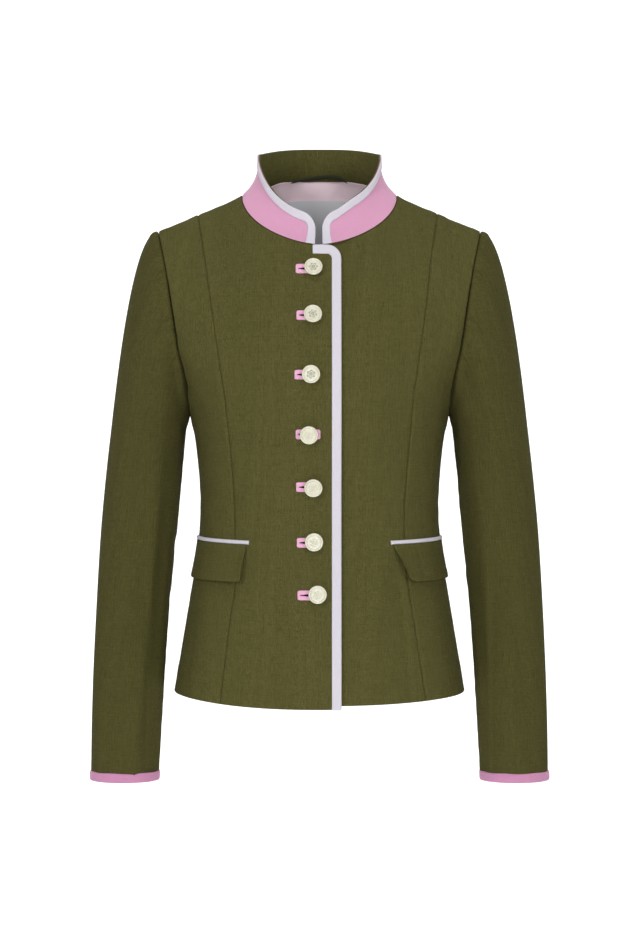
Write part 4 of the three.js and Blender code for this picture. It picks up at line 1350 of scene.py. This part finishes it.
def button(index):
    face_height = BUTTON_PROFILE["height"][-1]
    face = np.linspace(BUTTON_PROFILE["radius"][-1], 0, FACE_RINGS + 1)[1:-1]
    radius = np.concatenate([BUTTON_PROFILE["radius"][1:], face])[:, None]
    height = np.concatenate([BUTTON_PROFILE["height"][1:], np.full(len(face), face_height)])[:, None]
    turn = np.linspace(0, 2 * math.pi, BUTTON_SIDES + 1)[:-1]
    on_face = np.arange(len(radius))[:, None] >= len(BUTTON_PROFILE["radius"]) - 1
    cut = np.where(on_face, flower(radius, turn + FLOWER["turned"] * index), 0)
    rings = [radius * np.cos(turn), radius * np.sin(turn), height - FLOWER["cut"] * cut]
    middles = [[0, 0, 0], [0, 0, face_height]]
    points = np.concatenate([np.stack(rings, axis=-1).reshape(-1, 3), middles]) * MM
    mesh = bpy.data.meshes.new(f"button_{index + 1}_ivory")
    mesh.from_pydata(points.tolist(), [], button_faces(len(radius)))
    filled = mesh.attributes.new("filling", "FLOAT", "POINT")
    # Below the upper three the grey filling is faded: painted highlight washing it out
    strength = FILLED["full"] if index < FILLED["buttons"] else FILLED["worn"]
    filled.data.foreach_set("value", np.append(strength * cut, [0, 0]).astype(np.float32))
    mesh.shade_smooth()
    mesh.set_sharp_from_angle(angle=math.radians(BUTTON_CREASE))
    piece = add_object(mesh.name, mesh)
    x, z = BUTTONS["x"][index : index + 1], BUTTONS["z"][index : index + 1]
    foot_point = front_point(x, z, 0)[0]
    normal = Vector(front_point(x, z, 1)[0] - foot_point).normalized()
    piece.rotation_euler = normal.to_track_quat("Z", "Y").to_euler()
    piece.location = (Vector(foot_point) + normal * BUTTON_LIFT) * MM
    add_piece(piece, IVORY, f"button_{index + 1}")


for index in range(len(BUTTONS["z"])):
    button(index)

# Back neck facing, label and hanging loop
# Pale satin lines the back neck and is seamed in its middle. A bare grey satin label is sewn
# on it, and a flat dark cord arches over the inside of the collar to hang the jacket by.

FACING = {"half": 70, "above": 1.6, "foot": -60, "depth": 5.2, "wall": 0.8}
FACING_ENDS = {"higher": 5.5, "at": 56, "width": 26}
FACING_SEAM = {"depth": 1.1, "width": 1.0, "flat": 2, "free": 9}
FACING_WAVES = {"broad": 0.9, "fine": 0.5}
LABEL = {"half": 45, "top": 5, "foot": -56, "depth": 8.0, "wall": 0.7}
LABEL_EDGE = {"height": 0.25, "inset": 1.5, "width": 1.2}
LABEL_WAVE = {"height": 0.4, "length": 17}
NECK_JOIN = -8
LOOP = {"right": 43, "left": 37, "foot": 0.5, "rise": 6.5, "width": 4.2, "depth": 4.0, "thick": 1.4}
LOOP_ARCH = {"start": 0.8, "end": 9, "peak": 0.78}

SATIN_WEAVE = {"threads": 3200, "relief": 0.04, "sheen": 0.1}
CORD_WEAVE = {"threads": 1300, "slubs": 0.3, "relief": 0.2, "roughness": 0.75, "sheen": 0.1}
SATIN = cloth_material(
    "blush satin", (232, 206, 216), (244, 222, 230), slubs=0.15, roughness=0.4, **SATIN_WEAVE
)
GREY = cloth_material(
    "grey satin", (202, 203, 208), (219, 220, 225), slubs=0.1, roughness=0.45, **SATIN_WEAVE
)
CORD = cloth_material("dark cord", (34, 37, 26), (58, 60, 44), **CORD_WEAVE)

back_neck = top_edge("back", False)
behind = neck[:, 1] > 0


def back_neck_point(x, z, depth):
    """A place inside the back neck: on the backs below the neck seam and on the collar above it."""
    height = z - back_neck(x)
    low = np.minimum(z, back_neck(x))
    on_back = body_point(1, angle_at("back", x, low), low, -depth)
    along = np.interp(x, neck[behind, 0], neck_at[behind])
    on_collar = collar_point(along, height, -depth)
    return lerp(on_back, on_collar, smoothstep(height, NECK_JOIN, 0)[..., None])


def back_lining(sizes, top, relief):
    share, down = np.meshgrid(steps(2 * sizes["half"]), steps(-sizes["foot"]))
    x = lerp(-sizes["half"], sizes["half"], share)
    z = lerp(top(x), sizes["foot"], down)
    depth = sizes["depth"] + relief(x, z)
    layers = [back_neck_point(x, z, depth + out) for out in (0, sizes["wall"])]
    return *layers, np.stack([x, z], axis=-1)


def facing_relief(x, z):
    waves = FACING_WAVES["broad"] * np.sin(x / 9 + z / 14 + 0.6)
    waves += FACING_WAVES["fine"] * np.sin(x / 4.7 - z / 9)
    waves *= smoothstep(np.abs(x), FACING_SEAM["flat"], FACING_SEAM["free"])
    return waves - FACING_SEAM["depth"] * bell(x, FACING_SEAM["width"])


def label_relief(x, z):
    from_edge = np.abs(x) - LABEL["half"] + LABEL_EDGE["inset"]
    wave = LABEL_WAVE["height"] * np.sin(x / LABEL_WAVE["length"] + 1)
    return wave + LABEL_EDGE["height"] * bell(from_edge, LABEL_EDGE["width"])


def facing_top(x):
    """The seam of facing and collar, nearly straight from side to side."""
    end = bell(np.abs(x) - FACING_ENDS["at"], FACING_ENDS["width"])
    return back_neck(x) + FACING["above"] + FACING_ENDS["higher"] * end


def hanging_loop():
    share = np.linspace(0, 1, 61)
    across = lerp(-LOOP["right"], LOOP["left"], share)
    arch = share ** LOOP_ARCH["start"] * (1 - share ** LOOP_ARCH["end"]) / LOOP_ARCH["peak"]
    foot = LOOP["foot"] + LOOP["rise"] * arch

    def place(across, height, out):
        return collar_point(NECK_LENGTH / 2 + across, height, -LOOP["depth"] - out)

    upper, lower = path((across, foot + LOOP["width"])), path((across, foot))
    return ribbon("hanger_loop_cord", upper, lower, place, LOOP["thick"], 2.5)[0]


grids = back_lining(FACING, facing_top, facing_relief)
add_sheet("satin", "back_neck_facing", grids, SATIN)
grids = back_lining(LABEL, lambda x: 0 * x + LABEL["top"], label_relief)
add_sheet("satin", "label", grids, GREY)
add_piece(hanging_loop(), CORD, "hanger_loop")

# Backdrop, light and camera
# A pale seamless sheet that curves up from floor to wall, three large soft lamps in front, one
# above and two on the wall. The camera is straight on, as for a catalogue picture. Sizes here
# are in metres.

FLOOR = -0.95
WALL_BACK = 1.3
WALL_TOP = 3.0
FLOOR_FRONT = -4.0
BEND = 0.6
BACKDROP_HALF = 1.1
BACKDROP_GLOW = 0.25
PAPER = (0.93, 0.93, 0.93, 1)
WHITE = (1, 1, 1, 1)
MIDDLE = (0, 0, -0.3)
ROOM_LIGHT = 0.28
ROOM_SEEN = 0.85


def backdrop_material():
    material, tree, shader = new_material("backdrop")
    feed(shader, {"Base Color": PAPER, "Roughness": 1})
    feed(shader, {"Emission Color": WHITE, "Emission Strength": BACKDROP_GLOW})
    # Seen from behind, the sheet doesn't hide the jacket
    side = add_node(tree, "ShaderNodeNewGeometry")
    feed(shader, {"Alpha": Signal(tree, side.outputs["Backfacing"]) * -1.0 + 1.0})
    return material


def backdrop():
    turns = np.linspace(0, math.pi / 2, 17)
    bend = [(WALL_BACK - BEND + BEND * math.sin(t), FLOOR + BEND * (1 - math.cos(t))) for t in turns]
    profile = [(FLOOR_FRONT, FLOOR), *bend, (WALL_BACK, WALL_TOP)]
    points = [(x, y, z) for y, z in profile for x in (-BACKDROP_HALF, BACKDROP_HALF)]
    faces = [(2 * i, 2 * i + 1, 2 * i + 3, 2 * i + 2) for i in range(len(profile) - 1)]
    mesh = bpy.data.meshes.new("backdrop")
    mesh.from_pydata(points, [], faces)
    mesh.shade_smooth()
    mesh.materials.append(backdrop_material())
    add_object("backdrop", mesh)


def lamp(name, place, target, size, power):
    light = bpy.data.lights.new(name, "AREA")
    light.shape = "DISK"
    light.size = size
    light.energy = power
    made = add_object(name, light)
    made.location = place
    made.rotation_euler = (Vector(target) - Vector(place)).to_track_quat("-Z", "Y").to_euler()


backdrop()
lamp("key", (-1.9, -2.8, 0.9), MIDDLE, 0.9, 32)
lamp("fill", (1.9, -2.8, 0.5), MIDDLE, 0.9, 25)
lamp("front", (0, -3.3, -0.1), MIDDLE, 0.8, 23)
lamp("top", (0, -0.9, 1.6), (0, 0, 0), 0.8, 8)
lamp("wall left", (-1.3, 0.5, 0.9), (-1.0, WALL_BACK, -0.2), 0.9, 14)
lamp("wall right", (1.3, 0.5, 0.9), (1.0, WALL_BACK, -0.2), 0.9, 14)

world = bpy.data.worlds.new("studio")
world.use_nodes = True
sky = world.node_tree.nodes["Background"]
seen = add_node(world.node_tree, "ShaderNodeLightPath").outputs["Is Camera Ray"]
room = Signal(world.node_tree, seen) * (ROOM_SEEN - ROOM_LIGHT) + ROOM_LIGHT
feed(sky, {"Color": WHITE, "Strength": room})
bpy.context.scene.world = world
bpy.context.scene.view_settings.view_transform = "Standard"

camera_data = bpy.data.cameras.new("camera")
camera_data.lens = 102.4
camera_data.sensor_width = 36
camera = add_object("camera", camera_data)
camera.location = (0.0006, -3.0, -0.3045)
camera.rotation_euler = (math.pi / 2, 0, 0)
bpy.context.scene.camera = camera
